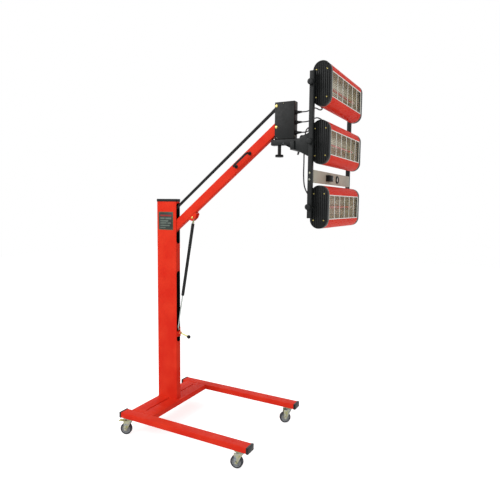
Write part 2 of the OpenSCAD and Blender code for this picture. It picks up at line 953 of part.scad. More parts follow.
module swivel_arm() {
    color("black")
    difference() {
        union() {
            difference() {
                mid_box(swivel_back, swivel_bottom, swivel_front - swivel_back, swivel_width, swivel_height);
                mid_box(swivel_back + swivel_wall, swivel_bottom + swivel_wall,
                    swivel_front - swivel_back - 2 * swivel_wall, swivel_width - 2 * swivel_wall,
                    swivel_height - 2 * swivel_wall);
            }
            translate([yaw_x, 0, swivel_bottom])
                cylinder(d = yaw_pin_diameter + 2 * pin_bush_wall, h = swivel_height);
            translate([0, gusset_sheet / 2, 0])
            rotate([90, 0, 0])
            linear_extrude(gusset_sheet)
                polygon([
                    [yaw_x + gusset_drop, swivel_bottom],
                    [flange_x - gusset_drop, swivel_bottom - gusset_drop],
                    [flange_x, swivel_bottom - gusset_drop / 2],
                    [flange_x, swivel_bottom]
                ]);
            translate([flange_x, 0, hub_z])
                long_pin(hub_diameter, flange_thickness);
            translate([flange_x, 0, hub_z])
                long_pin(roll_shaft_diameter, hub_x - flange_x + hub_length + running_gap);
            translate([hub_x + hub_length + running_gap, 0, hub_z])
                long_pin(roll_nut, roll_nut_length);
        }
        translate([yaw_x, 0, swivel_bottom - overrun])
            cylinder(d = yaw_pin_diameter + 2 * shaft_gap, h = swivel_height + 2 * overrun);
    }
}

module swivel_knob() {
    boss_top = swivel_bottom - running_gap;
    color("black")
    translate([yaw_x, 0, 0]) {
        translate([0, 0, boss_top - yaw_boss_length])
            cylinder(d = yaw_boss_diameter, h = yaw_boss_length);
        translate([0, 0, boss_top - yaw_boss_length - yaw_knob_thickness])
            cylinder(d = yaw_knob_diameter, h = yaw_knob_thickness);
        translate([0, 0, boss_top])
            cylinder(d = yaw_pin_diameter, h = head_bottom + head_wall + yaw_pin_above - boss_top);
    }
}

module clamp_lever() {
    color("black")
    translate([clamp_x, -clamp_y, hub_z])
    rotate([90, 0, 0]) {
        cylinder(d = clamp_boss, h = clamp_boss_length);
        translate([0, 0, -clamp_stud_depth])
            cylinder(d = clamp_stud, h = clamp_stud_depth);
        rotate([0, 0, -90 - clamp_lean])
        translate([0, 0, clamp_boss_length - clamp_thin - overrun])
        linear_extrude(clamp_thin)
            polygon([
                [0, -clamp_root / 2],
                [clamp_length, -clamp_thin / 2],
                [clamp_length, clamp_thin / 2],
                [0, clamp_root / 2]
            ]);
    }
}

// Lamp frame
module frame_bar(side) {
    bore = bar_side - 2 * frame_wall;
    difference() {
        translate([0, side * bar_y, 0])
            mid_box(bar_x - bar_side / 2, bar_bottom, bar_side, bar_side, bar_length);
        translate([0, side * bar_y, 0])
            mid_box(bar_x - bore / 2, bar_bottom + frame_wall, bore, bore, bar_length - 2 * frame_wall);
        for (z = cassette_heights)
            translate([bar_x, side * bar_y, z])
                cross_pin(trunnion_diameter + 2 * shaft_gap, bar_side + 2 * overrun);
        for (k = [1, 3])
            translate([bar_x, side * bar_y, sensor_plate_bottom + k * sensor_plate_height / 4])
                cross_pin(sensor_screw, bar_side + 2 * overrun);
    }
}

module gusset_outline(x0, x1, rear, front) {
    polygon([[x0, rear[0]], [x1, front[0]], [x1, front[1]], [x0, rear[1]]]);
}

module lamp_frame() {
    color("black") {
        difference() {
            translate([hub_x, 0, hub_z])
                long_pin(hub_diameter, hub_length);
            translate([hub_x - overrun, 0, hub_z])
                long_pin(roll_shaft_diameter + 2 * shaft_gap, hub_length + 2 * overrun);
            translate([clamp_x, -clamp_y + clamp_stud_depth / 2, hub_z])
                cross_pin(clamp_stud + 2 * shaft_gap, clamp_stud_depth + 2 * overrun);
        }
        for (side = [-1, 1]) {
            translate([0, side * hub_gusset_y + hub_gusset_sheet / 2, 0])
            rotate([90, 0, 0])
            linear_extrude(hub_gusset_sheet)
                gusset_outline(gusset_x, gusset_plate_x + overrun,
                    [hub_z - hub_gusset_half, hub_z + hub_gusset_half], [plate_low, plate_high]);
            frame_bar(side);
            translate([0, side * bar_y + side_gusset_sheet / 2, 0])
            rotate([90, 0, 0])
            linear_extrude(side_gusset_sheet)
                gusset_outline(cross_x + cross_side - overrun, bar_x - bar_side / 2 + overrun,
                    [cross_z - side_gusset_half, cross_z + side_gusset_half],
                    [cross_z - side_gusset_reach, cross_z + side_gusset_reach]);
        }
        mid_box(gusset_plate_x, plate_low, cross_x - gusset_plate_x + overrun,
            2 * hub_gusset_y + hub_gusset_sheet, plate_high - plate_low);
        difference() {
            mid_box(cross_x, cross_z - cross_height / 2, cross_side, frame_width, cross_height);
            mid_box(cross_x + frame_wall, cross_z - cross_height / 2 + frame_wall,
                cross_side - 2 * frame_wall, frame_width - 2 * frame_wall, cross_height - 2 * frame_wall);
        }
    }
}

module sensor_plate() {
    inner = 2 * bar_y - bar_side;
    color("tan") {
        mid_box(sensor_plate_x - sensor_sheet, sensor_plate_bottom, sensor_sheet, inner, sensor_plate_height);
        for (side = [-1, 1]) {
            translate([0, side * (inner - sensor_sheet) / 2, 0])
                mid_box(sensor_plate_x - sensor_flange, sensor_plate_bottom, sensor_flange, sensor_sheet,
                    sensor_plate_height);
            for (k = [1, 3])
                translate([bar_x, side * (inner / 2 + bar_side + sensor_screw_height / 2),
                    sensor_plate_bottom + k * sensor_plate_height / 4]) {
                    cross_pin(sensor_screw_head, sensor_screw_height);
                    translate([0, -side * (bar_side + sensor_screw_height) / 2, 0])
                        cross_pin(sensor_screw, bar_side);
                }
        }
    }
}

module sensor_unit() {
    sensor_middle = sensor_plate_bottom + sensor_plate_height / 2;
    color("black") {
        translate([sensor_plate_x, sensor_block_start, sensor_middle - sensor_block_height / 2])
            cube([sensor_block_depth, sensor_block_width, sensor_block_height]);
        translate([sensor_plate_x, sensor_ring_y, sensor_middle])
        difference() {
            long_pin(sensor_ring, sensor_ring_depth);
            translate([sensor_ring_depth / 2, 0, 0])
                long_pin(sensor_ring_hole, sensor_ring_depth);
        }
    }
}

// Cassettes, drawn about their tilt axis
module cassette_place(index) {
    translate([bar_x, 0, cassette_heights[index]])
        children();
}

// Outline of a cassette across its length, with its depth along X and its height along Y
module cassette_outline(inset) {
    straight = cassette_height - cassette_depth;
    radius = cassette_radius - inset;
    translate([cassette_mid - radius, -straight / 2])
        square([2 * radius, straight]);
    for (side = [-1, 1])
        translate([cassette_mid, side * straight / 2])
            circle(r = radius);
}

module along_bars(start, length) {
    translate([0, start + length, 0])
    rotate([90, 0, 0])
    linear_extrude(length)
        children();
}

module housing() {
    color("crimson")
    difference() {
        along_bars(-body_half, 2 * body_half)
            cassette_outline(0);
        along_bars(-body_half - overrun, 2 * body_half + 2 * overrun)
            cassette_outline(cassette_wall);
        mid_box(cassette_front - 2 * cassette_wall, -window_height / 2, 3 * cassette_wall,
            2 * body_half + 2 * overrun, window_height);
    }
}

module end_cap() {
    pitch = cassette_depth / (rib_count + 1);
    cap_start = body_half;
    difference() {
        union() {
            along_bars(cap_start, end_cap_thickness)
                cassette_outline(0);
            along_bars(cap_start - cap_spigot, cap_spigot)
                intersection() {
                    cassette_outline(cassette_wall + cap_gap);
                    translate([-cassette_back, -cassette_height / 2])
                        square([cassette_depth / 2, cassette_height]);
                }
            translate([0, cap_start + end_cap_thickness / 2 + cap_spigot, 0])
                cross_pin(trunnion_boss, end_cap_thickness + 2 * cap_spigot);
        }
        along_bars(cap_start - cap_spigot - overrun,
            end_cap_thickness - groove_depth - cap_wall + cap_spigot + overrun)
            intersection() {
                cassette_outline(cap_wall + cassette_wall);
                translate([trunnion_boss / 2 + cap_wall, -cassette_height / 2])
                    square([cassette_depth, cassette_height]);
            }
        for (k = [1:rib_count])
            translate([0, cassette_length / 2, 0])
                mid_box(k * pitch - cassette_back + trunnion_boss / 2, -cassette_height / 2, groove_width,
                    2 * groove_depth, cassette_height);
    }
}

module end_caps() {
    boss_end = cassette_length / 2 + 2 * cap_spigot;
    outer = bar_y + bar_side / 2 + far_stub;
    color("black") {
        difference() {
            mirror([0, 1, 0])
                end_cap();
            translate([0, -cassette_length / 2, 0])
                cross_pin(trunnion_diameter + 2 * shaft_gap, 2 * end_cap_thickness);
        }
        end_cap();
        translate([0, (boss_end + outer) / 2 - cap_spigot / 2, 0])
            cross_pin(trunnion_diameter, outer - boss_end + cap_spigot);
        translate([0, outer - far_stub / 2 + running_gap, 0])
            cross_pin(knob_washer_diameter, far_stub - 2 * running_gap);
    }
}

module reflector() {
    half = body_half - cap_spigot - running_gap;
    edge = window_height / 2 - cassette_wall;
    color("gainsboro")
    difference() {
        union() {
            along_bars(-half, 2 * half)
                difference() {
                    translate([reflector_x, 0])
                        circle(r = reflector_radius);
                    translate([reflector_x, 0])
                        circle(r = reflector_radius - reflector_sheet);
                    translate([reflector_x, -cassette_height / 2])
                        square([cassette_depth, cassette_height]);
                }
            for (side = [-1, 1]) {
                translate([0, 0, side * (reflector_radius + reflector_sheet) - reflector_sheet / 2])
                    mid_box(reflector_x, -2 * reflector_sheet,
                        cassette_front - grille_depth - running_gap - reflector_x,
                        2 * half, 4 * reflector_sheet);
                along_bars(side * (half - reflector_sheet / 2) - reflector_sheet / 2, reflector_sheet)
                    intersection() {
                        translate([reflector_x, 0])
                            circle(r = reflector_radius);
                        translate([-cassette_back, -edge])
                            square([cassette_front - cassette_wall - running_gap, 2 * edge]);
                    }
            }
        }
        for (k = [0:vent_count - 1])
            translate([reflector_x - 2 * vent_hole, 0, (k - (vent_count - 1) / 2) * 2 * vent_hole])
                cross_pin(vent_hole, cassette_length);
    }
}

module grille() {
    half = body_half - running_gap;
    half_height = window_height / 2 - running_gap;
    x0 = cassette_front - grille_depth;
    wire_gap = 2 * half_height / (wire_count + 1);
    upright_gap = 2 * half / (upright_count + 1);
    color("silver") {
        difference() {
            mid_box(x0, -half_height, grille_depth, 2 * half, 2 * half_height);
            mid_box(x0 - overrun, -half_height + grille_rim, grille_depth + 2 * overrun,
                2 * half - 2 * grille_rim, 2 * half_height - 2 * grille_rim);
        }
        for (k = [1:wire_count])
            mid_box(x0, k * wire_gap - half_height - wire / 2, wire, 2 * half - grille_rim, wire);
        for (k = [1:upright_count])
            translate([0, k * upright_gap - half - upright / 2, 0])
                mid_box(x0, -half_height + grille_rim / 2, grille_depth,
                    upright, 2 * half_height - grille_rim);
    }
}

module lamp_tube() {
    half = body_half - cap_spigot - running_gap - reflector_sheet;
    translate([tube_x, 0, 0]) {
        color("tomato")
        difference() {
            cross_pin(tube_diameter, 2 * half - 2 * ceramic_length);
            cross_pin(tube_diameter - 2 * tube_wall, 2 * half - 2 * ceramic_length - 2 * tube_end);
        }
        color("white")
        for (side = [-1, 1])
            translate([0, side * (half - ceramic_length / 2), 0])
                cross_pin(ceramic_diameter, ceramic_length);
    }
}

module tilt_knob() {
    outer = bar_y + bar_side / 2;
    inner = cassette_length / 2 + cap_gap - end_cap_thickness / 2;
    color("black")
    translate([0, -outer - knob_washer - running_gap, 0])
    rotate([90, 0, 0]) {
        cylinder(d = knob_diameter, h = knob_length);
        translate([0, 0, -knob_washer])
            cylinder(d = knob_washer_diameter, h = knob_washer);
        translate([0, 0, inner - outer - knob_washer])
            cylinder(d = trunnion_diameter, h = outer - inner + knob_washer);
    }
}

// Each sub-part, in the row's frame
module placed() {
    translate([-origin_x, 0, 0])
        children();
}

placed() leg(1);  // left_leg
placed() leg(-1);  // right_leg
placed() crossbar();
placed() leg_end_caps();
placed() mast();
placed() mast_cap();
placed() label_plate();
placed() mast_pins();
placed() spring_anchor();
placed() anchor_lever();
placed() caster_plates();
placed() caster_place(1, -1, front_near_swivel) fork(false);  // front_near_fork
placed() caster_place(1, 1, front_far_swivel) fork(false);  // front_far_fork
placed() caster_place(-1, -1, rear_near_swivel) fork(true);  // rear_near_fork
placed() caster_place(-1, 1, rear_far_swivel) fork(true);  // rear_far_fork
placed() caster_place(1, -1, front_near_swivel) wheel();  // front_near_wheel
placed() caster_place(1, 1, front_far_swivel) wheel();  // front_far_wheel
placed() caster_place(-1, -1, rear_near_swivel) wheel();  // rear_near_wheel
placed() caster_place(-1, 1, rear_far_swivel) wheel();  // rear_far_wheel
placed() caster_place(-1, -1, rear_near_swivel) brake_pedal();  // rear_near_brake_pedal
placed() caster_place(-1, 1, rear_far_swivel) brake_pedal();  // rear_far_brake_pedal
placed() arm_tube();
placed() arm_handle();
placed() spring_bracket();
placed() spring_bolt();
placed() level_rod();
placed() gas_cylinder();
placed() gas_rod();
placed() head_bracket();
placed() head_pins();
placed() terminal_block();
placed() cable_glands();
lead_top();
lead_middle();
lead_bottom();
placed() swivel_arm();
placed() swivel_knob();
placed() clamp_lever();
placed() lamp_frame();
placed() sensor_plate();
placed() sensor_unit();
placed() cassette_place(0) housing();  // top_housing
placed() cassette_place(0) end_caps();  // top_end_caps
placed() cassette_place(0) reflector();  // top_reflector
placed() cassette_place(0) grille();  // top_grille
placed() cassette_place(0) lamp_tube();  // top_lamp_tube
placed() cassette_place(0) tilt_knob();  // top_tilt_knob
placed() cassette_place(1) housing();  // middle_housing
placed() cassette_place(1) end_caps();  // middle_end_caps
placed() cassette_place(1) reflector();  // middle_reflector
placed() cassette_place(1) grille();  // middle_grille
placed() cassette_place(1) lamp_tube();  // middle_lamp_tube
placed() cassette_place(1) tilt_knob();  // middle_tilt_knob
placed() cassette_place(2) housing();  // bottom_housing
placed() cassette_place(2) end_caps();  // bottom_end_caps
placed() cassette_place(2) reflector();  // bottom_reflector
placed() cassette_place(2) grille();  // bottom_grille
placed() cassette_place(2) lamp_tube();  // bottom_lamp_tube
placed() cassette_place(2) tilt_knob();  // bottom_tilt_knob
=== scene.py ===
import math
import bmesh
import bpy
from mathutils import Matrix, Vector


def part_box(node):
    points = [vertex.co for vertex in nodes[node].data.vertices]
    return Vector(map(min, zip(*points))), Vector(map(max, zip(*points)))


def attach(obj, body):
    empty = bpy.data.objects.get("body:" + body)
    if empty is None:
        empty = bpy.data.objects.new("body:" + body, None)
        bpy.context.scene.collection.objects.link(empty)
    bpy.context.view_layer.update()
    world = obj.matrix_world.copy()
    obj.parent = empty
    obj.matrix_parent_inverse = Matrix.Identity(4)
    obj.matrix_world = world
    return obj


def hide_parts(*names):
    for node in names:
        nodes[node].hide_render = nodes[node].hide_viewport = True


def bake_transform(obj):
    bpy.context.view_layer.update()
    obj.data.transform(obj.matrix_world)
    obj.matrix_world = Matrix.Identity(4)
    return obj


ops = bmesh.ops
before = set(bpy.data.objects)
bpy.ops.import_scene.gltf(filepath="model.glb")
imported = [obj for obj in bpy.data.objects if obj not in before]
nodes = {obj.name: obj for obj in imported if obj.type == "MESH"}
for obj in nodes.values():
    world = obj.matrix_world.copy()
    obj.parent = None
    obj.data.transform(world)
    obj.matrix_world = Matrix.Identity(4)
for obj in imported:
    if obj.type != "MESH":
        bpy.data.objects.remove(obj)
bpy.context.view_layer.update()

# Pieces are drawn in millimetres, with x from the rear end of the legs, and moved to the frame at the end
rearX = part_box("left_leg")[0].x * 1000


def shift(x, y, z):
    return Matrix.Translation((x, y, z))


def newObject(name, data):
    thing = bpy.data.objects.new(name, data)
    bpy.context.scene.collection.objects.link(thing)
    return thing


def toMesh(part, name):
    # The bmesh as a mesh, and the bmesh is freed
    mesh = bpy.data.meshes.new(name)
    part.to_mesh(mesh)
    part.free()
    return mesh


# Camera: stands near the right front, as in the photograph, 34 mm lens on a 36 mm sensor
camera = dict(spot=(1.2721, -2.2288, 1.29), right=(0.8801, 0.4746, 0.0106), up=(-0.0545, 0.0788, 0.9954),
              lens=34.19)
eye = newObject("eye", bpy.data.cameras.new("eye"))
cameraRight = Vector(camera["right"]).normalized()
cameraUp = (Vector(camera["up"]) - cameraRight * cameraRight.dot(Vector(camera["up"]))).normalized()
eye.matrix_world = Matrix((cameraRight, cameraUp, cameraRight.cross(cameraUp))).transposed().to_4x4()
eye.location = camera["spot"]
eye.data.lens = camera["lens"]
eye.data.sensor_width = 36
bpy.context.scene.camera = eye


# Colours and finishes
def colour(hexText):
    channels = [int(hexText[k:k + 2], 16) / 255 for k in (1, 3, 5)]
    return tuple(c / 12.92 if c <= 0.04045 else ((c + 0.055) / 1.055) ** 2.4 for c in channels) + (1,)


def emptyTree(owner):
    owner.use_nodes = True
    owner.node_tree.nodes.clear()
    return owner.node_tree


def addNode(tree, kind, links=None, stops=(), **settings):
    # links holds values and sockets, stops holds a ramp's hex colours or greys
    node = tree.nodes.new(kind)
    for key, value in settings.items():
        setattr(node, key, value)
    points = node.color_ramp.elements if stops else ()
    for k, (place, value) in enumerate(stops):
        point = points[k] if k < len(points) else points.new(place)
        point.position = place
        point.color = colour(value) if isinstance(value, str) else (value, value, value, 1)
    for key, value in (links or {}).items():
        if isinstance(value, bpy.types.NodeSocket):
            tree.links.new(value, node.inputs[key])
        else:
            node.inputs[key].default_value = value
    return node


def perMm(size):  # noise scale for features of this many millimetres
    return 1000 / size


def makeFinish(name, tint, sheen, relief, along="", **values):
    # Each of tint, sheen and relief starts with the size and the detail of its grain. Tint and sheen end with
    # the stops of a ramp, relief with its height in millimetres and its strength
    material = bpy.data.materials.new(name)
    tree = emptyTree(material)
    shader = addNode(tree, "ShaderNodeBsdfPrincipled", {k.replace("_", " "): v for k, v in values.items()})
    addNode(tree, "ShaderNodeOutputMaterial", {"Surface": shader.outputs["BSDF"]})
    where = addNode(tree, "ShaderNodeTexCoord").outputs["Object"]
    if along:
        stretch = [0.02 if letter == along else 1.0 for letter in "xyz"]
        where = addNode(tree, "ShaderNodeMapping", {"Vector": where, "Scale": stretch}).outputs["Vector"]
    for socket, field in (("Base Color", tint), ("Roughness", sheen), ("Normal", relief)):
        if not field:
            continue
        size, detail, *rest = field
        grain = addNode(tree, "ShaderNodeTexNoise", {"Vector": where, "Scale": perMm(size), "Detail": detail})
        if socket == "Normal":
            height, strength = rest
            last = addNode(tree, "ShaderNodeBump", {"Height": grain.outputs["Fac"], "Distance": height / 1000,
                                                    "Strength": strength})
        else:
            last = addNode(tree, "ShaderNodeValToRGB", {"Fac": grain.outputs["Fac"]}, rest[0])
        tree.links.new(last.outputs[0], shader.inputs[socket])
    return material


def coatedPaint(name, dark, light, roughness, peel, depth, gloss):
    # Sprayed polyester powder, baked: even colour, soft gloss and a fine orange peel
    return makeFinish(name, (90, 2, ((0.35, dark), (0.65, light))),
                      (14, 6, ((0.45, roughness), (0.75, roughness + 0.12))), (peel, 2, depth, 0.5),
                      Specular_IOR_Level=gloss)


def mouldedPlastic(name, dark, light, roughness, size, gloss=0.4):
    # Injection moulded, lightly textured: broad soft highlights, faint mottling
    return makeFinish(name, (30, 4, ((0.3, dark), (0.7, light))), None, (size, 3, 0.06, 0.6),
                      Roughness=roughness, Specular_IOR_Level=gloss)


def platedSteel(name, stops, roughness, size):
    # Plated and passivated: metal with drifting tints and an uneven sheen
    return makeFinish(name, (size, 3, stops), (3, 4, ((0.3, roughness), (0.7, roughness + 0.16))),
                      (0.9, 2, 0.02, 0.5), Metallic=1.0)


def drawnMetal(name, tone, roughness, along, spacing):
    # Drawn or rolled: bright, with fine lines that run one way
    return makeFinish(name, None, (spacing, 4, ((0.3, roughness), (0.7, roughness + 0.08))),
                      (spacing, 4, 0.01, 0.5), along, Metallic=1.0, Base_Color=colour(tone))


def rubyQuartz():
    # Fused quartz tube with a ruby coating: clear gloss over a glowing orange red
    return makeFinish("rubyCoatedQuartz", (40, 2, ((0.3, "#F2452C"), (0.7, "#FF7350"))), None,
                      (12, 2, 0.02, 0.4), Roughness=0.08, IOR=1.46, Transmission_Weight=0.25, Coat_Weight=0.5,
                      Coat_Roughness=0.04)


finishes = {
    "red": (coatedPaint("redPolyesterPowderCoat", "#D92C1B", "#E13822", 0.46, 2.2, 0.02, 0.05),
            "red_powder_coat"),
    "black": (coatedPaint("blackPolyesterPowderCoat", "#131515", "#191B1B", 0.42, 1.6, 0.04, 0.18),
              "black_powder_coat"),
    "plastic": (mouldedPlastic("mouldedNylonBlack", "#111313", "#181A1A", 0.45, 0.8, 0.2), "black_plastic"),
    # Zinc plate with drifting blue and yellow tints; all its tones are also darkened as painted shade, since
    # the forks sit in shadow
    "zinc": (platedSteel("blueZincPlateShaded", ((0.3, "#6E7885"), (0.5, "#A0A08C"), (0.68, "#89884F")), 0.3, 16),
             "zinc_plate"),
    "gold": (platedSteel("yellowZincPlate", ((0.3, "#9A853E"), (0.5, "#C2B468"), (0.7, "#A3966A")), 0.28, 5),
             "yellow_zinc"),
    "rubber": (mouldedPlastic("greyThermoplasticRubber", "#34363A", "#43454A", 0.72, 1.5, 0.25),
               "rubber_tread"),
    "core": (mouldedPlastic("greyPolypropyleneCore", "#8B8E90", "#9C9FA0", 0.5, 1.2), "rubber_tread"),
    "rod": (drawnMetal("groundChromedRod", "#A7ABA8", 0.12, "z", 0.6), "polished_rod"),
    "cast": (coatedPaint("castIronBlackEnamel", "#121415", "#191B1C", 0.44, 2.4, 0.1, 0.2), "cast_black"),
    "sheet": (coatedPaint("beigeTexturedCoat", "#A39D8C", "#B1AB9A", 0.5, 1.2, 0.06, 0.35), "sensor_sheet"),
    "mirror": (drawnMetal("anodisedBrightAluminium", "#CCC5B0", 0.34, "y", 2.5), "polished_reflector"),
    "wire": (drawnMetal("nickelPlatedWire", "#D2D2CC", 0.2, "y", 0.8), "grille_wire"),
    # A darker copy of the grille wire for the level wires: painted shade
    "wireDark": (drawnMetal("shadedLevelWire", "#5B5852", 0.32, "y", 0.8), "grille_wire"),
    "ruby": (rubyQuartz(), "ruby_glass"),
    "ceramic": (mouldedPlastic("firedSteatite", "#E9E4D6", "#F5F1E6", 0.35, 0.7), "terminal_plastic"),
    "ivory": (mouldedPlastic("mouldedPolyamideIvory", "#DDD7C2", "#E8E2CF", 0.45, 0.7), "terminal_plastic"),
    "lead": (mouldedPlastic("extrudedSiliconeSheath", "#1A1C1E", "#25272A", 0.55, 0.5, 0.25), "lead_sheath"),
    # Near-black painted shade, for the inner faces of the mast and the floor of the groove between the cross
    # tubes
    "inside": (mouldedPlastic("paintedShadeInside", "#121111", "#191818", 0.8, 1.5, 0.15),
               "black_powder_coat"),
    "film": (mouldedPlastic("printedPolyesterFilm", "#2C3431", "#353D39", 0.35, 2.0, 0.2), "label_film"),
    "filmBorder": (mouldedPlastic("printedOliveBorder", "#565A3E", "#646848", 0.4, 2.0, 0.2), "label_film"),
    "filmRed": (mouldedPlastic("printedRedBand", "#8C2624", "#9A2E2C", 0.4, 2.0, 0.2), "label_film"),
    "filmPale": (mouldedPlastic("printedPaleBlocks", "#59645C", "#6A756D", 0.4, 2.0, 0.2), "label_film"),
    "trim": (drawnMetal("greenGreyAluminiumTrim", "#98A08A", 0.3, "z", 1.0), "zinc_plate"),
    "lens": (mouldedPlastic("smokedPolycarbonate", "#0B0C0F", "#121419", 0.08, 4.0), "black_plastic"),
    "pedal": (platedSteel("chromatedPedalSteel", ((0.3, "#98964F"), (0.55, "#BDBA78"), (0.8, "#A5A98A")),
                          0.3, 9), "yellow_zinc"),
}
print("finishes ready:", len(finishes))


# Shapes. Each gives a new bmesh in millimetres
quarters = ((-1, -1), (1, -1), (1, 1), (-1, 1))


def withMirror(half):
    # An outline that goes on as its own mirror image
    return [*half, *((a, -b) for a, b in reversed(half))]


def vertsOf(geom):
    return [g for g in geom if isinstance(g, bmesh.types.BMVert)]


def bevelEdges(part, edges, width, segments=2):
    ops.bevel(part, geom=list(edges), offset=width, offset_type="OFFSET", segments=segments,
              profile=0.5, affect="EDGES", clamp_overlap=True, material=-1)


def block(low, high, width=0.0, along="xyz", segments=2):
    part = bmesh.new()
    low, high = Vector(low), Vector(high)
    ops.create_cube(part, size=1, matrix=Matrix.LocRotScale((low + high) / 2, None, high - low))
    if width:
        runs = [Vector([letter == name for name in "xyz"]) for letter in along]
        edges = [e for e in part.edges
                 if any(abs((e.verts[0].co - e.verts[1].co).normalized().dot(run)) > 0.9 for run in runs)]
        bevelEdges(part, edges, width, segments)
    return part


def towards(spot, direction, turn=0.0):
    quarter = Vector(direction).to_track_quat("Z", "Y").to_matrix().to_4x4()
    return Matrix.Translation(spot) @ quarter @ Matrix.Rotation(turn, 4, "Z")


def acrossY(start):
    # Takes a sheet drawn in xz and raised to lie across y, from start towards the near side
    return shift(0, start, 0) @ Matrix.Rotation(math.pi / 2, 4, "X")


def rod(start, end, radius, sides=32, width=0.0):
    part = bmesh.new()
    start, end = Vector(start), Vector(end)
    ops.create_cone(part, cap_ends=True, segments=sides, radius1=radius, radius2=radius,
                    depth=(end - start).length, matrix=towards((start + end) / 2, end - start))
    if width:
        bevelEdges(part, [e for e in part.edges if e.calc_face_angle(0) > 1], width)
    return part


def turned(profile, place=None, steps=40, ring=False):
    part = bmesh.new()
    corners = [part.verts.new((r, 0, z)) for r, z in profile]
    for one, other in zip(corners, corners[1:] + corners[:1] if ring else corners[1:]):
        part.edges.new((one, other))
    ops.spin(part, geom=part.verts[:] + part.edges[:], axis=(0, 0, 1), cent=(0, 0, 0),
             angle=math.tau, steps=steps, use_merge=True)
    ops.remove_doubles(part, verts=part.verts, dist=0.001)
    ops.recalc_face_normals(part, faces=part.faces)
    if place:
        part.transform(place)
    return part


def cutSheet(outline, thickness, corner, width, place=None, segments=4):
    # A flat outline in xy, its corners rounded, raised along z
    part = bmesh.new()
    part.faces.new([part.verts.new((x, y, 0)) for x, y in outline])
    if corner:
        ops.bevel(part, geom=part.verts[:], offset=corner, offset_type="OFFSET", segments=segments,
                  profile=0.5, affect="VERTICES", clamp_overlap=True, material=-1)
    raisedUp = ops.extrude_face_region(part, geom=part.faces[:])["geom"]
    ops.translate(part, verts=vertsOf(raisedUp), vec=(0, 0, thickness))
    ops.recalc_face_normals(part, faces=part.faces)
    if width:
        rims = [e for e in part.edges if abs(e.verts[0].co.z - e.verts[1].co.z) < 0.001
                and e.calc_face_angle(0) > 1]
        bevelEdges(part, rims, width)
    if place:
        part.transform(place)
    return part


def bentSheet(points, lift, thickness, bend=0.0):
    # A sheet that follows points and spans lift, its faces outward, its corners rounded by bend
    part = bmesh.new()
    corners = [part.verts.new(p) for p in points]
    for pair in zip(corners, corners[1:]):
        part.edges.new(pair)
    lifted = ops.extrude_edge_only(part, edges=part.edges[:])["geom"]
    ops.translate(part, verts=vertsOf(lifted), vec=lift)
    if bend:
        bevelEdges(part, [e for e in part.edges if len(e.link_faces) == 2], bend, 5)
    ops.recalc_face_normals(part, faces=part.faces)
    widest = max(part.faces, key=lambda f: f.calc_area())
    middle = sum((Vector(p) for p in points), Vector()) / len(points)
    if widest.normal.dot(widest.calc_center_median() - middle) < 0:
        ops.reverse_faces(part, faces=part.faces)
    ops.solidify(part, geom=part.faces[:], thickness=thickness)
    return part


def tubeAlong(points, radius, sides, swell=(1.0,)):
    # A round bar that follows points. swell repeats along it, as on a weld bead
    part = bmesh.new()
    points = [Vector(p) for p in points]
    last = len(points) - 1
    heading = (points[1] - points[0]).normalized()
    turn = heading.to_track_quat("Z", "Y")
    here = Matrix.LocRotScale(points[0], turn, Vector((swell[0],) * 3))
    ops.create_circle(part, cap_ends=True, radius=radius, segments=sides, matrix=here)
    rim = part.edges[:]
    for k in range(1, last + 1):
        newHeading = (points[min(k + 1, last)] - points[k - 1]).normalized()
        turn = heading.rotation_difference(newHeading) @ turn
        heading = newHeading
        there = Matrix.LocRotScale(points[k], turn, Vector((swell[k % len(swell)],) * 3))
        made = ops.extrude_edge_only(part, edges=rim)["geom"]
        ring = vertsOf(made)
        rim = [g for g in made if isinstance(g, bmesh.types.BMEdge)
               and g.verts[0] in ring and g.verts[1] in ring]
        ops.transform(part, matrix=there @ here.inverted(), verts=ring)
        here = there
    ops.contextual_create(part, geom=rim)
    ops.recalc_face_normals(part, faces=part.faces)
    return part


def smoothRoute(points, steps):
    # More points on a smooth line through the given ones
    points = [Vector(p) for p in points]
    padded = [2 * points[0] - points[1]] + points + [2 * points[-1] - points[-2]]
    line = []
    for a, b, c, d in zip(padded, padded[1:], padded[2:], padded[3:]):
        for k in range(steps):
            t = k / steps
            line.append(0.5 * (2 * b + (c - a) * t + (2 * a - 5 * b + 4 * c - d) * t ** 2
                               + (3 * b - a - 3 * c + d) * t ** 3))
    return line + [points[-1]]


def weld(corners, radius=1.6):
    # A weld bead along straight runs: small scales a few millimetres apart
    pitch = 2.6
    points = []
    for a, b in zip(corners, corners[1:]):
        a, b = Vector(a), Vector(b)
        count = max(2, round((b - a).length / pitch))
        points += [a.lerp(b, k / count) for k in range(count)]
    return tubeAlong(points + [Vector(corners[-1])], radius, 6, (1.0, 1.18, 1.08, 0.92))


def hexHead(spot, direction, across, height, turn=0.0):
    part = bmesh.new()
    ops.create_cone(part, cap_ends=True, segments=6, radius1=across / math.sqrt(3),
                    radius2=across / math.sqrt(3), depth=height,
                    matrix=shift(0, 0, height / 2))
    bevelEdges(part, [e for e in part.edges if e.verts[0].co.z > height / 2 and e.verts[1].co.z > height / 2],
               height * 0.14, 2)
    part.transform(towards(spot, direction, turn))
    return part


def eyeRing(x, z, bore, radius, half, steps=40):
    # A ring across y with chamfered rims
    profile = withMirror(((bore, -half), (radius - 0.6, -half), (radius, 0.6 - half)))
    return turned(profile, towards((x, 0, z), (0, 1, 0)), steps, True)


def panHead(spot, direction, radius):
    # Domed screw head with a cross recess, cut once and then copied
    if "panHead" not in bpy.data.meshes:
        dome = turned(((0, 0), (1, 0), (1, 0.25), (0.8, 0.5), (0.4, 0.64), (0, 0.68)), steps=24)
        for a, b in ((0.55, 0.11), (0.11, 0.55)):
            dome = carve(dome, block((-a, -b, 0.32), (a, b, 1)))
        toMesh(dome, "panHead")
    head = bmesh.new()
    head.from_mesh(bpy.data.meshes["panHead"])
    head.transform(towards(spot, direction, 0.4) @ Matrix.Scale(radius, 4))
    return head


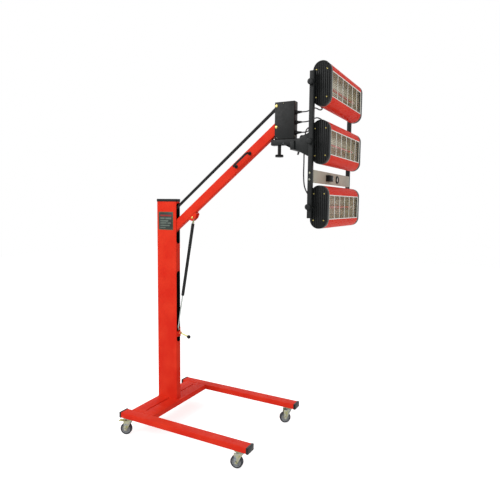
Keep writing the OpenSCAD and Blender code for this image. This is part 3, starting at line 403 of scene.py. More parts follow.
def add(whole, part, slot=0, place=None):
    if place is not None:
        part.transform(place)
    if slot is not None:
        for face in part.faces:
            face.material_index = slot
    carrier = toMesh(part, "carrier")
    whole.from_mesh(carrier)
    bpy.data.meshes.remove(carrier)


def knurl(whole, count, reach, low, high, radius, width=0.0, middle=0):
    # Round ribs about a knob's rim
    for k in range(count):
        a = k * math.tau / count
        x, y = middle + reach * math.cos(a), reach * math.sin(a)
        add(whole, rod((x, y, low), (x, y, high), radius, 8, width))


def carve(part, cutter):
    # Takes the cutter's volume out of the part
    carriers = [newObject("carve", toMesh(shape, "carve")) for shape in (part, cutter)]
    change = carriers[0].modifiers.new("carve", "BOOLEAN")
    change.object = carriers[1]
    change.operation = "DIFFERENCE"
    change.solver = "EXACT"
    result = bpy.data.meshes.new_from_object(
        carriers[0].evaluated_get(bpy.context.evaluated_depsgraph_get()))
    done = bmesh.new()
    done.from_mesh(result)
    for carrier in carriers:
        bpy.data.meshes.remove(carrier.data)
    bpy.data.meshes.remove(result)
    return done


def fromCad(node):
    # A merged copy of a CAD node, in millimetres
    part = bmesh.new()
    part.from_mesh(nodes[node].data)
    ops.scale(part, verts=part.verts, vec=(1000, 1000, 1000))
    ops.translate(part, verts=part.verts, vec=(-rearX, 0, 0))
    ops.remove_doubles(part, verts=part.verts, dist=0.01)
    ops.dissolve_limit(part, angle_limit=0.01, verts=part.verts, edges=part.edges)
    return part


def softened(part, width):
    # Rounds the outward edges that turn by more than about 34 degrees and are longer than the bevel
    edges = [e for e in part.edges if e.is_manifold and e.is_convex and e.calc_face_angle(0) > 0.6
             and e.calc_length() > 1.2 * width]
    bevelEdges(part, edges, width)
    return part


def makePiece(name, body, replaced, part, *names, sharp=40, place=None):
    # The finished piece, moved to its place and to the frame in metres, riding on its body
    if place is not None:
        part.transform(place)
    ops.translate(part, verts=part.verts, vec=(rearX, 0, 0))
    ops.scale(part, verts=part.verts, vec=(0.001, 0.001, 0.001))
    mesh = toMesh(part, name)
    for key in names:
        mesh.materials.append(finishes[key][0])
    mesh.polygons.foreach_set("use_smooth", [True] * len(mesh.polygons))
    mesh.set_sharp_from_angle(angle=math.radians(sharp))
    piece = newObject(name, mesh)
    if body:
        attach(piece, body)
    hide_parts(*replaced)
    return piece


# Leads first: three pieces each, cut at the third and the fifth listed point of each route; they ride on no
# body
leads = dict(
    radius=3.0,
    top=[(923.5, 0, 1748), (945, 0, 1748), (970, -20, 1748), (1000, -65, 1744), (1030, -120, 1736),
         (1060, -165, 1724), (1080, -186, 1713), (1092, -196, 1709), (1098.5, -200, 1710.5),
         (1100, -200.6, 1714.5)],
    middle=[(923.5, 0, 1699), (945, 0, 1699), (970, -16, 1699), (1000, -55, 1697), (1030, -105, 1692),
            (1060, -155, 1684), (1084, -184, 1674), (1095.5, -196, 1667), (1099.4, -200, 1662.5),
            (1100, -200.6, 1658.5)],
    bottom=[(923.5, 0, 1649), (945, 0, 1649), (968, -24, 1650), (988, -70, 1652), (1008, -130, 1646),
            (1018, -180, 1625), (1021, -200, 1590), (1021, -205, 1540), (1021, -205, 1480),
            (1021, -205, 1420), (1026, -205, 1375), (1040, -205, 1345), (1056, -205, 1330),
            (1071, -205, 1326)],
    splits=(2, 4),
    steps=6,
)
for name in ("top", "middle", "bottom"):
    line = smoothRoute(leads[name], leads["steps"])
    first, second = (k * leads["steps"] for k in leads["splits"])
    runs = (("head", "swivel", line[:first + 1]), ("swivel", "lamp_frame", line[first:second + 1]),
            ("lamp_frame", name + "_cassette", line[second:]))
    for (bodyA, bodyB, run), ending in zip(runs, ("Rear", "Centre", "Front")):
        part = tubeAlong(run, leads["radius"], 12)
        start, end = run[min(2, len(run) - 2)], run[-2]
        piece = makePiece(name + "Lead" + ending, None, ["lead_" + name], part, "lead")
        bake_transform(piece)
print("leads done")


# Base
base = dict(length=804, centreY=289, low=97, high=127, halfWidth=30, corner=4.0, lip=5, proud=8,
            tubes=((30, 105), (110, 185)), crossHalf=259, groove=229, grooveX=(103, 112), sunk=0.8)
low, high, half = base["low"], base["high"], base["crossHalf"]
for name, side in (("left", 1), ("right", -1)):
    leg = bmesh.new()
    y = side * base["centreY"]
    add(leg, block((0, y - base["halfWidth"], low), (base["length"], y + base["halfWidth"], high),
                   base["corner"], "x", 4))
    inner = y - side * (base["halfWidth"] + 0.2)
    for x0, x1 in base["tubes"]:
        add(leg, weld(((x0 + 3, inner, high - base["sunk"]), (x1 - 3, inner, high - base["sunk"]))))
    makePiece(name + "LegTube", "stand", [name + "_leg"], leg, "red")

cross = bmesh.new()
for x0, x1 in base["tubes"]:
    add(cross, block((x0, -half, low), (x1, half, high), base["corner"], "y", 4))
x0, x1 = base["grooveX"]
# Floor of the groove between the two tubes, in the near-black painted shade
add(cross, block((x0, -half, low), (x1, half, low + 3)), 1)
for side in (-1, 1):
    ends = sorted((side * base["groove"], side * half))
    add(cross, block((x0, ends[0], low), (x1, ends[1], high - base["sunk"])))
# Welds about the foot of the mast
add(cross, weld(((28, -22, high), (28, 22, high)), 1.8))
for side in (-1, 1):
    add(cross, weld(((27, side * 21, high + 0.4), (163, side * 21, high + 0.4)), 1.9))
add(cross, weld(((166.4, -20, high + 0.4), (166.4, 20, high + 0.4)), 1.9))
makePiece("crossTubes", "stand", ["crossbar"], cross, "red", "inside")

caps = bmesh.new()
for side in (-1, 1):
    for x, out in ((0, -1), (base["length"], 1)):
        y = side * base["centreY"]
        ends = sorted((x - out * base["lip"], x + out * base["proud"]))
        wide = base["halfWidth"] + 0.8
        add(caps, block((ends[0], y - wide, low - 0.8), (ends[1], y + wide, high + 0.8), 1.6, "xyz", 3))
        ends = sorted((x, x - out * 12))
        for inset in (3, 7):  # the plug inside the tube, stepped
            wide = base["halfWidth"] - inset
            taper = (inset - 3) * 0.4
            add(caps, block((ends[0] + taper, y - wide, low + inset),
                            (ends[1] - taper, y + wide, high - inset), 1.5, "x", 2))
makePiece("legEndPlugs", "stand", ["leg_end_caps"], caps, "plastic")
print("base done")


# Mast
mast = dict(x=(25, 165), half=20, z=(127, 1302), wall=2.5, corner=5.0, slotHalf=17,
            slots=((477, 898), (1059, 1294)), inlet=(190, 6.2))


def slotShape(x0, depth, low, high, half):
    place = shift(x0, 0, 0) @ Matrix(((0, 0, 1, 0), (1, 0, 0, 0), (0, 1, 0, 0), (0, 0, 0, 1)))
    outline = ((-half, low), (half, low), (half, high), (-half, high))
    return cutSheet(outline, depth, half - 0.01, 0, place, 10)


rear, front = mast["x"]
foot, top = mast["z"]
half = mast["half"]
post = block((rear, -half, foot), (front, half, top), mast["corner"], "z", 4)
ops.delete(post, geom=[f for f in post.faces if abs(f.normal.z) > 0.9], context="FACES")
ops.solidify(post, geom=post.faces[:], thickness=mast["wall"])
ops.recalc_face_normals(post, faces=post.faces)
for low, high in mast["slots"]:
    post = carve(post, slotShape(front - 6, 12, low, high, mast["slotHalf"]))
inletZ, inletRadius = mast["inlet"]
post = carve(post, rod((rear - 5, 0, inletZ), (rear + 6, 0, inletZ), inletRadius))
centre = Vector(((rear + front) / 2, 0, 0))
# Faces deep inside the tube that face inward take slot 1, the near-black painted shade
for face in post.faces:
    out = face.calc_center_median() - centre
    out.z = 0
    deep = min(half - abs(out.y), (front - rear) / 2 - abs(out.x))
    face.material_index = 1 if deep > 0.3 and face.normal.dot(out) < 0.2 else 0
makePiece("mastTube", "stand", ["mast"], post, "red", "inside")

lid = bmesh.new()
add(lid, block((rear - 1, -half - 1, top), (front + 1, half + 1, top + 16), 3.0, "xyz", 4))
add(lid, block((rear + 5, 3.5 - half, top - 8), (front - 5, half - 3.5, top + 2), 1.0))
add(lid, tubeAlong(((rear - 1.1, 2 - half, top + 1.4), (rear - 1.1, half - 2, top + 1.4)), 0.5, 6))
makePiece("mastLid", "stand", ["mast_cap"], lid, "plastic")

label = bmesh.new()
plate = dict(x=(39, 144), z=(1138, 1243), y=-20, border=3, margin=12, screw=5.5,
             rows=((62, 72, 12, 44), (62, 72, 50, 92), (48, 56, 12, 70), (36, 43, 12, 58), (36, 43, 64, 90),
                   (22, 29, 12, 80), (10, 16, 12, 50)))
x0, x1 = plate["x"]
z0, z1 = plate["z"]
y, border, margin, screw = plate["y"], plate["border"], plate["margin"], plate["screw"]
add(label, block((x0, y - 1.0, z0), (x1, y, z1), 0.4), 1)
add(label, block((x0 + border, y - 1.15, z0 + border), (x1 - border, y - 0.2, z1 - border), 0.2))
add(label, block((x0 + margin, y - 1.2, z1 - 26), (x1 - margin, y - 0.3, z1 - 17), 0.15), 2)
for low, high, left, right in plate["rows"]:
    add(label, block((x0 + left, y - 1.2, z0 + low), (x0 + right, y - 0.3, z0 + high), 0.15), 3)
for a, b in quarters:
    x, z = (x0 + x1) / 2 + a * ((x1 - x0) / 2 - screw), (z0 + z1) / 2 + b * ((z1 - z0) / 2 - screw)
    add(label, rod((x, y - 1.2, z), (x, y - 0.5, z), 1.6, 16, 0.2), 1)
makePiece("ratingPlate", "stand", ["label_plate"], label, "film", "filmBorder", "filmRed", "filmPale")
print("mast done")


# Anchor block of the gas spring and its lever
anchor = softened(fromCad("spring_anchor"), 0.8)
makePiece("springAnchorBlock", "stand", ["spring_anchor"], anchor, "red")

lever = dict(x=176.5, z=531, length=64, ball=11, down=15)
place = shift(lever["x"], 0, lever["z"]) @ Matrix.Rotation(math.radians(lever["down"]), 4, "Y")
grip = bmesh.new()
for start, end, radius, sides, width in (((0, -8, 0), (0, 8, 0), 2.5, 24, 0.4),
                                         ((0, -4.7, 0), (0, 4.7, 0), 6, 40, 0.6),
                                         ((3, 0, 0), (52, 0, 0), 4, 32, 0),
                                         ((48, 0, 0), (56, 0, 0), 5.4, 32, 0.6)):
    add(grip, rod(start, end, radius, sides, width))
angles = [math.radians(k * 12 - 72) for k in range(14)]
add(grip, turned([(math.cos(a) * lever["ball"], math.sin(a) * lever["ball"]) for a in angles]
                 + [(0, lever["ball"])], towards((lever["length"], 0, 0), (1, 0, 0))), 1)
add(grip, rod((lever["length"] - 11.4, 0, 0), (lever["length"] - 8, 0, 0), 5, 24, 0.3), 1)
makePiece("anchorHandle", "anchor_lever", ["anchor_lever"], grip, "pedal", "plastic", place=place)


# Casters
casters = dict(trail=23, radius=32.5, plate=28, bolts=21, crown=79.7, top=94, brakeX=30, brakeZ=74)
spots = dict(front_near=(759, -289, 10), front_far=(759, 289, 35), rear_near=(45, -289, 20),
             rear_far=(45, 289, -20))

mounts = bmesh.new()
for x, y, swivel in spots.values():
    half, top = casters["plate"], casters["top"]
    outline = [(x + a * half, y + b * half) for a, b in quarters]
    add(mounts, cutSheet(outline, 3, 6, 0.6, shift(0, 0, top)))
    race = ((0, 94.2), (18, 94.2), (18, 92.2), (17, 90.6), (14, 88.0), (0, 88.0))
    add(mounts, turned(race, shift(x, y, 0)))
    for a, b in quarters:
        boltX, boltY = x + a * casters["bolts"], y + b * casters["bolts"]
        add(mounts, rod((boltX, boltY, top - 1), (boltX, boltY, top + 0.2), 5.2, 24, 0.2))
        add(mounts, hexHead((boltX, boltY, top - 0.8), (0, 0, -1), 8, 4.2, 0.3 * a))
makePiece("casterTopPlates", "stand", ["caster_plates"], mounts, "zinc")


def casterPlace(x, y, swivel):
    return shift(x, y, 0) @ Matrix.Rotation(math.radians(180 + swivel), 4, "Z")


def forkShape(braked):
    whole = bmesh.new()
    trail, radius, low = casters["trail"], casters["radius"], casters["crown"]
    add(whole, turned(((0, 87.6), (14.5, 87.6), (17.4, 85.8), (18, 83.5), (18, 80.2), (0, 80.2))))
    outline = ((-10, -16.5), (18, -16.5), (18, 16.5), (-10, 16.5))
    add(whole, cutSheet(outline, 2.6, 5, 0.5, shift(0, 0, low - 0.1)))
    for side in (-1, 1):
        cheek = cutSheet(((-10, low + 2.4), (-10, low - 3), (trail - 10, radius + 2), (trail - 8, radius - 6),
                          (trail, radius - 9), (trail + 8, radius - 6), (trail + 10, radius + 2),
                          (34, low - 2), (34, low + 2.4)), 2.5, 3.0, 0.5, acrossY(side * 15.25 + 1.25))
        add(whole, cheek)
        start, end = Vector((-3, side * 16.4, low - 6)), Vector((trail - 4, side * 16.4, radius + 12))
        add(whole, tubeAlong([start.lerp(end, k / 6) for k in range(7)], 1.3, 8))
        add(whole, rod((trail, side * 16.3, radius), (trail, side * 17.3, radius), 8, 32, 0.2))
        add(whole, hexHead((trail, side * 17.2, radius), (0, side, 0), 12, 4.0, 0.3))
    add(whole, rod((trail, -21.4, radius), (trail, 21.4, radius), 4, 24, 0.4))
    if braked:
        x, z = casters["brakeX"], casters["brakeZ"]
        add(whole, rod((x, -16.5, z), (x, 16.5, z), 2.5, 20, 0.3))
    return whole


def wheelShape():
    whole = bmesh.new()
    radius = casters["radius"]
    tyre = ((23.6, -6), (24.5, -11.4), (28.6, -12), (31.6, -10), (radius, -6.5))
    core = ((4.05, -13), (10, -13), (11, -12), (11.4, -6), (21, -5), (22, -9), (24.2, -9.4))
    side = towards((casters["trail"], 0, radius), (0, -1, 0))
    for k, half in enumerate((tyre, core)):
        add(whole, turned(withMirror(half), side, 48, True), k)
    for k in range(6):
        spoke = block((10.5, -1.2, -8.4), (22.8, 1.2, 8.4), 0.5)
        spoke.transform(side @ Matrix.Rotation(k * math.tau / 6, 4, "Z"))
        add(whole, spoke, 1)
    return whole


for name, spot in spots.items():
    place = casterPlace(*spot)
    # The forks take the zinc with its tones darkened as painted shade
    makePiece(name + "_pressedFork", name + "_fork", [name + "_fork"], forkShape(name.startswith("rear")),
              "zinc", place=place)
    makePiece(name + "_tyreAndCore", name + "_wheel", [name + "_wheel"], wheelShape(), "rubber", "core",
              place=place)

for name in ("rear_near", "rear_far"):
    pedal = bmesh.new()
    x, z = casters["brakeX"], casters["brakeZ"]
    add(pedal, cutSheet(((0, -13), (34, -13), (34, 13), (0, 13)), 2.5, 3.5, 0.6, shift(x, 0, z + 2)))
    for side in (-1, 1):
        add(pedal, turned(((2.55, side * 9), (4.5, side * 9), (4.5, side * 13), (2.55, side * 13)),
                          towards((x, 0, z), (0, 1, 0)), 24, True))
        low, high = sorted((side * 9, side * 13))
        add(pedal, block((x, low, z), (x + 6, high, z + 4), 0.8))
    for k in range(4):
        add(pedal, block((x + 13 + 5 * k, -10, z + 4.2), (x + 15 + 5 * k, 10, z + 5), 0.3))
    add(pedal, block((x + 31.5, -12, z - 0.4), (x + 34, 12, z + 3.5), 0.8))
    makePiece(name + "_brakePedal", name + "_brake_pedal", [name + "_brake_pedal"], pedal, "pedal",
              place=casterPlace(*spots[name]))
print("casters done")


# Arm, drawn level from its lower pivot and then raised
arm = dict(x=104, z=1121, angle=39, length=887, tail=22, high=25, half=15, wall=2.5, corner=5)
armPlace = shift(arm["x"], 0, arm["z"]) @ Matrix.Rotation(math.radians(-arm["angle"]), 4, "Y")

length, tail, half = arm["length"], arm["tail"], arm["half"]
beam = block((-tail, -half, -arm["high"]), (length + tail, half, arm["high"]), arm["corner"], "x", 4)
ops.delete(beam, geom=[f for f in beam.faces if abs(f.normal.x) > 0.9], context="FACES")
ops.solidify(beam, geom=beam.faces[:], thickness=arm["wall"])
for x in (0, length):
    add(beam, turned(((6.05, -14.9), (9, -14.9), (9, 14.9), (6.05, 14.9)), towards((x, 0, 0), (0, 1, 0)), 40,
                     True))
for x, out in ((-tail, 1), (length + tail, -1)):
    low, high = sorted((x + out * 0.2, x + out * 3))
    add(beam, block((low, -12.4, -22.4), (high, 12.4, 22.4), 0.5), 1)
makePiece("armBeam", "arm", ["arm_tube"], beam, "red", "plastic", place=armPlace)

bow = bmesh.new()
grab = dict(start=586, end=690, out=34, radius=5.5, bend=10, flange=10)
start, end, bend, front = grab["start"], grab["end"], grab["bend"], -half - grab["out"]
corner = [(start + bend * (1 - math.cos(a)), front + bend * (1 - math.sin(a)), 0)
          for a in [math.radians(k * 90 / 8) for k in range(9)]]
line = [(start, -half - 3, 0), (start, front + bend + 2, 0)] + corner
line += [(start + k * 13, front, 0) for k in range(1, 8)]
line += [(start + end - x, y, z) for x, y, z in reversed(corner)]
line += [(end, front + bend + 2, 0), (end, -half - 3, 0)]
add(bow, tubeAlong(line, grab["radius"], 20))
for x in (start, end):
    add(bow, turned(((0, 0), (grab["flange"], 0), (grab["flange"], 2.6), (8.6, 3.8), (6.2, 4), (6.2, 7),
                     (5.3, 8), (0, 8)), towards((x, -half, 0), (0, -1, 0))))
makePiece("bowHandle", "arm", ["arm_handle"], bow, "plastic", place=armPlace)

cheeks = softened(fromCad("spring_bracket"), 0.6)
for side in (-1, 1):
    add(cheeks, weld(((162, side * 13.6, -25.8), (224, side * 13.6, -25.8)), 1.3), 0, armPlace)
makePiece("springCheeks", "arm", ["spring_bracket"], cheeks, "red")

bolt = bmesh.new()
x, z = 191, -36
add(bolt, rod((x, -19.8, z), (x, 19.8, z), 4, 28, 0.5))
for side in (-1, 1):
    add(bolt, rod((x, side * 15, z), (x, side * 16.2, z), 6.5, 32, 0.2))
    add(bolt, hexHead((x, side * 16.1, z), (0, side, 0), 11, 3.6, 0.2 * side))
makePiece("springTopBolt", "arm", ["spring_bolt"], bolt, "gold", place=armPlace)

link = bmesh.new()
lift = 104  # of the level rod's pins above the arm's
for x, out in ((0, 1), (length, -1)):
    add(link, eyeRing(x, 0, 6.05, 10, 5))
    low, high = sorted((x + out * 7, x + out * 40))
    add(link, block((low, -5, -8), (high, 5, 8), 1.5))
    low, high = sorted((x + out * 28, x + out * 44))
    add(link, rod((low, 0, 0), (high, 0, 0), 8, 40, 1.5))
add(link, rod((40, 0, 0), (length - 40, 0, 0), 8, 40))
makePiece("levelRod", "level_rod", ["level_rod"], link, "black", place=shift(0, 0, lift) @ armPlace)

# Gas spring, drawn down from its upper eye
spring = dict(top=(275.13, 1213.23), foot=(160, 552))
topX, topZ = spring["top"]
run, drop = topX - spring["foot"][0], topZ - spring["foot"][1]
springLength = math.hypot(run, drop)
springPlace = shift(topX, 0, topZ) @ Matrix.Rotation(math.pi + math.atan2(run, drop), 4, "Y")
can = bmesh.new()
add(can, eyeRing(0, 0, 4.05, 9, 4, 36), 1)
add(can, rod((0, 0, 7), (0, 0, 35), 4, 28), 1)
add(can, hexHead((0, 0, 24), (0, 0, 1), 11, 6), 1)
add(can, turned(((0, 34), (5, 34), (7.6, 35), (9, 37.5), (9, 452), (8.7, 455), (8.7, 456.5), (9, 458),
                 (9, 461.5), (7.5, 464), (4.2, 464), (4.2, 440), (0, 440))), 0)
makePiece("gasSpringCylinder", "gas_cylinder", ["gas_cylinder"], can, "black", "zinc", place=springPlace)

ram = bmesh.new()
add(ram, rod((0, 0, 450), (0, 0, springLength - 6), 4, 32))
add(ram, turned(((0, 449), (7, 449), (7.2, 450), (7.2, 456), (7, 457), (0, 457))))
add(ram, hexHead((0, 0, springLength - 22), (0, 0, 1), 10, 6), 1)
add(ram, eyeRing(0, springLength, 4.05, 9, 4, 36), 1)
makePiece("gasSpringRam", "gas_rod", ["gas_rod"], ram, "rod", "zinc", place=springPlace)
print("arm done")


# Head bracket, its bolts, glands and terminal block
head = dict(x=(784.34, 891.34), half=20, z=(1619.22, 1802.22), pins=((793.34, 1679.22), (793.34, 1783.22)),
            glands=(1748.22, 1699.22, 1649.22), sheet=2)
hx0, hx1 = head["x"]
hz0, hz1 = head["z"]
half = head["half"]
box = block((hx0 - 8, -half, hz0), (hx1, half, hz1), 2.5, "xyz", 3)
ops.bisect_plane(box, geom=box.verts[:] + box.edges[:] + box.faces[:], plane_co=(hx0, 0, 0),
                 plane_no=(-1, 0, 0), clear_outer=True)
ops.solidify(box, geom=box.faces[:], thickness=head["sheet"])
for z in (hz0 + 12, hz1 - 12):
    add(box, panHead((hx1 + 0.1, -12, z), (1, 0, 0), 2.4), 1)
for side in (-1, 1):
    for x, z in ((hx0 + 46, hz1 - 7), (hx0 + 12, hz0 + 8)):
        add(box, panHead((x, side * (half + 0.1), z), (0, side, 0), 2.4), 1)
makePiece("headHousing", "head", ["head_bracket"], box, "black", "zinc")

bolts = bmesh.new()
for x, z in head["pins"]:
    add(bolts, rod((x, -half, z), (x, half, z), 6, 32))
    for side in (-1, 1):
        add(bolts, rod((x, side * half, z), (x, side * (half + 1), z), 7, 36, 0.2))
        add(bolts, hexHead((x, side * (half + 0.9), z), (0, side, 0), 11.5, 2.4, 0.5))
makePiece("headPivotBolts", "head", ["head_pins"], bolts, "gold")

terminals = bmesh.new()
for k in range(4):
    x = hx0 + 52 + 9 * k
    add(terminals, block((x + 0.4, -14, hz0 + 2), (x + 8.6, 14, hz0 + 14), 0.8))
    add(terminals, block((x + 1.6, -9, hz0 + 13), (x + 7.4, 9, hz0 + 20), 0.8))
    for y in (-5, 5):
        add(terminals, panHead((x + 4.5, y, hz0 + 19.6), (0, 0, 1), 2.0), 1)
makePiece("terminalRow", "head", ["terminal_block"], terminals, "ivory", "gold")

glandSet = bmesh.new()
for z in head["glands"]:
    place = towards((hx1, 0, z), (1, 0, 0))
    thread = [(0, -8)] + [(5.9 - 0.5 * (k % 2), -8 + k * 0.9) for k in range(10)] + [(0, 0.6)]
    add(glandSet, turned(thread, place, 28))
    add(glandSet, hexHead((0, 0, 0), (0, 0, 1), 19, 5.4), 0, place)
    sleeve = [(0, 5), (8.6, 5), (8.8, 8.5), (8.0, 9.6), (7.4, 10)]
    for k in range(5):
        z0 = 11 + 4 * k
        r = 7.2 - 0.62 * k
        sleeve += [(r, z0), (r, z0 + 2.2), (r - 1.3, z0 + 2.6), (r - 1.3, z0 + 3.7)]
    sleeve += [(4.2, 31.2), (3.1, 31.9), (0, 31.9)]
    add(glandSet, turned(sleeve, place, 32))
makePiece("cableGlandSet", "head", ["cable_glands"], glandSet, "plastic")

# Swivel arm below the head, with its knob, hub and clamp
swivel = dict(yawX=803.34, x=(762.34, 922.34), z=(1589.92, 1618.92), half=18, flangeX=922.34, hubZ=1603.42)
sx0, sx1 = swivel["x"]
sz0, sz1 = swivel["z"]
yawX, flangeX, hubZ, half = swivel["yawX"], swivel["flangeX"], swivel["hubZ"], swivel["half"]
neck = bmesh.new()
add(neck, carve(block((sx0, -half, sz0), (sx1, half, sz1), 3.0, "xyz", 3),
                rod((yawX, 0, sz0 - 5), (yawX, 0, sz1 + 5), 6.05)))
drop = 29
add(neck, cutSheet(((yawX + drop, sz0 + 1), (flangeX - drop, sz0 - drop), (flangeX + 1, sz0 - drop / 2),
                    (flangeX + 1, sz0 + 1)), 6, 0, 1.0, acrossY(3)))
add(neck, turned(((0, 0), (30.5, 0), (32, 1.5), (32, 4.8), (30.8, 6), (8, 6), (8, 34.6), (13, 34.6),
                  (13, 40.2), (12, 40.6), (0, 40.6)), towards((flangeX, 0, hubZ), (1, 0, 0)), 56))
for x in (sx0 + 70, sx0 + 116):
    for side in (-1, 1):
        add(neck, panHead((x, side * (half + 0.1), sz0 + 8), (0, side, 0), 2.2), 1)
add(neck, hexHead((flangeX + 40.4, 0, hubZ), (1, 0, 0), 15, 0.5), 1)
makePiece("swivelNeck", "swivel", ["swivel_arm"], neck, "cast", "zinc")

knob = bmesh.new()
low = sz0 - 46.3
rim = [(21 - 0.9 * (k % 2), low - 10.5 + k) for k in range(10)]
add(knob, turned([(0, low - 12), (19.6, low - 12)] + rim
                 + [(19.6, low), (9.4, low + 1), (9, low + 2), (9, sz0 - 1), (8.6, sz0 - 0.3),
                    (5.9, sz0 - 0.3), (5.9, sz1 + 6.6), (5.3, sz1 + 7.3), (0, sz1 + 7.3)],
                 shift(yawX, 0, 0), 56))
knurl(knob, 28, 19.9, low - 10.4, low - 1.6, 1.05, middle=yawX)
makePiece("yawKnob", "swivel_knob", ["swivel_knob"], knob, "plastic")

clampX, clampY = 942.64, 33
clamp = bmesh.new()
face = shift(clampX, 0, hubZ) @ acrossY(-clampY)
add(clamp, turned(((0, -12), (4, -12), (4, 0), (7.2, 0), (8, 0.8), (8, 12.5), (7, 14.4), (4.6, 15), (0, 15)),
                  face, 36))
add(clamp, cutSheet(withMirror(((0, -7), (30, -5.4), (58, -4.2), (72, -3.5))), 7, 1.2, 1.6,
                    face @ Matrix.Rotation(math.radians(-106), 4, "Z") @ shift(0, 0, 7)))
add(clamp, hexHead((clampX, -clampY - 14.6, hubZ), (0, -1, 0), 7, 0.4), 1)
makePiece("clampHandle", "clamp_lever", ["clamp_lever"], clamp, "cast", "zinc")
print("head done")


# Lamp frame
lamp = dict(barX=1080.34, barY=274, barHalf=10, low=1233, high=1859, crossX=(985.34, 1005.34), crossHalf=284,
            crossZ=1551.42, crossRise=20, hubX=928.64, plateX=(981.34, 986), plateZ=(1531.42, 1641.42),
            gussetX=(948.64, 982))
tiltHeights = dict(top=1810, middle=1563, bottom=1282)
barX, barHalf, crossZ = lamp["barX"], lamp["barHalf"], lamp["crossZ"]
crossRear, crossFront = lamp["crossX"]
plateRear, plateFront = lamp["plateX"]
plateLow, plateHigh = lamp["plateZ"]
rack = bmesh.new()
add(rack, carve(turned(((8.05, 0), (31, 0), (32, 1), (32, 27), (31, 28), (8.05, 28)),
                       towards((lamp["hubX"], 0, hubZ), (1, 0, 0)), 56, True),
                rod((clampX, -40, hubZ), (clampX, -18, hubZ), 4.05)))
for side in (-1, 1):
    y = side * lamp["barY"]
    bar = block((barX - barHalf, y - barHalf, lamp["low"] + 1),
                (barX + barHalf, y + barHalf, lamp["high"] - 1), 2.2, "z", 3)
    for z in tiltHeights.values():
        bar = carve(bar, rod((barX, y - 14, z), (barX, y + 14, z), 5.05))
    add(rack, bar)
    for z in (lamp["low"], lamp["high"] - 3):
        add(rack, block((barX - 9, y - 9, z), (barX + 9, y + 9, z + 3), 0.8), 1)
    gusset = ((crossFront - 1, crossZ - 18), (barX - 9, crossZ - 52), (barX - 9, crossZ + 52),
              (crossFront - 1, crossZ + 18))
    add(rack, cutSheet(gusset, 6, 0, 0.8, acrossY(y + 3)))
    for offset in (-3.6, 3.6):
        add(rack, weld(((barX - 10.4, y + offset, crossZ - 48), (barX - 10.4, y + offset, crossZ + 48)), 1.4))
    rear, front = lamp["gussetX"]
    gusset = ((rear, hubZ - 30), (front, plateLow), (front, plateHigh), (rear, hubZ + 30))
    add(rack, cutSheet(gusset, 4, 0, 0.8, acrossY(side * 26 + 2)))
    seam = front - 1.4
    add(rack, weld(((seam, side * 28.2, plateLow + 4), (seam, side * 28.2, plateHigh - 4)), 1.4))
add(rack, block((plateRear, -28, plateLow), (plateFront, 28, plateHigh), 1.0))
add(rack, block((crossRear, -lamp["crossHalf"], crossZ - lamp["crossRise"]),
                (crossFront, lamp["crossHalf"], crossZ + lamp["crossRise"]), 2.2, "xyz", 3))
makePiece("lampRack", "lamp_frame", ["lamp_frame"], rack, "black", "plastic")

sensor = dict(x=1092.34, half=264, z=(1387, 1443), flange=20, sheet=2, bend=3.5)
strip = bmesh.new()
z0, z1 = sensor["z"]
front, half = sensor["x"], sensor["half"]
rear = front - sensor["flange"]
add(strip, bentSheet([(x, y, z0) for x, y in ((rear, -half), (front, -half), (front, half), (rear, half))],
                     (0, 0, z1 - z0), sensor["sheet"], sensor["bend"]))
for side in (-1, 1):
    for z in (z0 + 14, z0 + 42):
        add(strip, rod((barX, side * 262, z), (barX, side * 284, z), 3, 20), 1)
        add(strip, rod((barX, side * 284, z), (barX, side * 284.8, z), 4.5, 28, 0.2), 1)
        add(strip, panHead((barX, side * 284.6, z), (0, side, 0), 3.9), 1)
makePiece("sensorStrip", "lamp_frame", ["sensor_plate"], strip, "sheet", "zinc")

eyeUnit = bmesh.new()
middle = (z0 + z1) / 2
add(eyeUnit, block((front, -107, middle - 14.5), (front + 18, -55, middle + 14.5), 2.0, "xyz", 3))
for k in range(4):
    add(eyeUnit, block((front + 17, -104 + 6 * k, middle - 12), (front + 22, -101 + 6 * k, middle + 12), 0.8))
add(eyeUnit, block((front + 17, -78, middle - 11), (front + 20, -58, middle + 11), 1.2))
add(eyeUnit, rod((front + 19, -68, middle), (front + 20.8, -68, middle), 7, 32, 0.5), 1)
ringPlace = towards((front, 55, middle), (1, 0, 0))
add(eyeUnit, turned(((19, 0), (19, 3.4), (17.4, 5), (12.6, 5), (11, 3.6), (11, 0)), ringPlace, 48, True))
add(eyeUnit, turned(((0, 0.2), (11.2, 0.2), (11.2, 1.6), (0, 3.0)), ringPlace, 40), 2)
makePiece("sensorEye", "lamp_frame", ["sensor_unit"], eyeUnit, "plastic", "lens", "ceramic")
print("lamp frame done")


# Cassettes, drawn about their tilt axis
cassette = dict(radius=40, half=225, wall=2)
middleX, middleZ = 32, 55  # centre of the upper round end


def roundEnd(inset, steps):
    r = cassette["radius"] - inset
    angles = [math.pi * k / steps for k in range(steps + 1)]
    return [(middleX + r * math.cos(a), middleZ + r * math.sin(a)) for a in angles]


def tombOutline(inset):
    upper = roundEnd(inset, 16)
    return upper + [(2 * middleX - x, -z) for x, z in upper]


def housingShape():
    upper = [(69, 53), (71.3, 53.4)] + roundEnd(0, 20) + [(-8, 30)]
    line = upper + [(-8, 0)] + [(x, -z) for x, z in reversed(upper)]
    start = 1.6 - cassette["half"]
    shell = bentSheet([(x, start, z) for x, z in line], (0, -2 * start, 0), cassette["wall"])
    for side in (-1, 1):
        ring = cutSheet(tombOutline(0), 1.6, 0, 0.4, acrossY(side * (cassette["half"] - 0.8) + 0.8))
        add(shell, carve(ring, cutSheet(tombOutline(6), 8, 0, 0, acrossY(side * 224 + 4))), 1)
    return shell


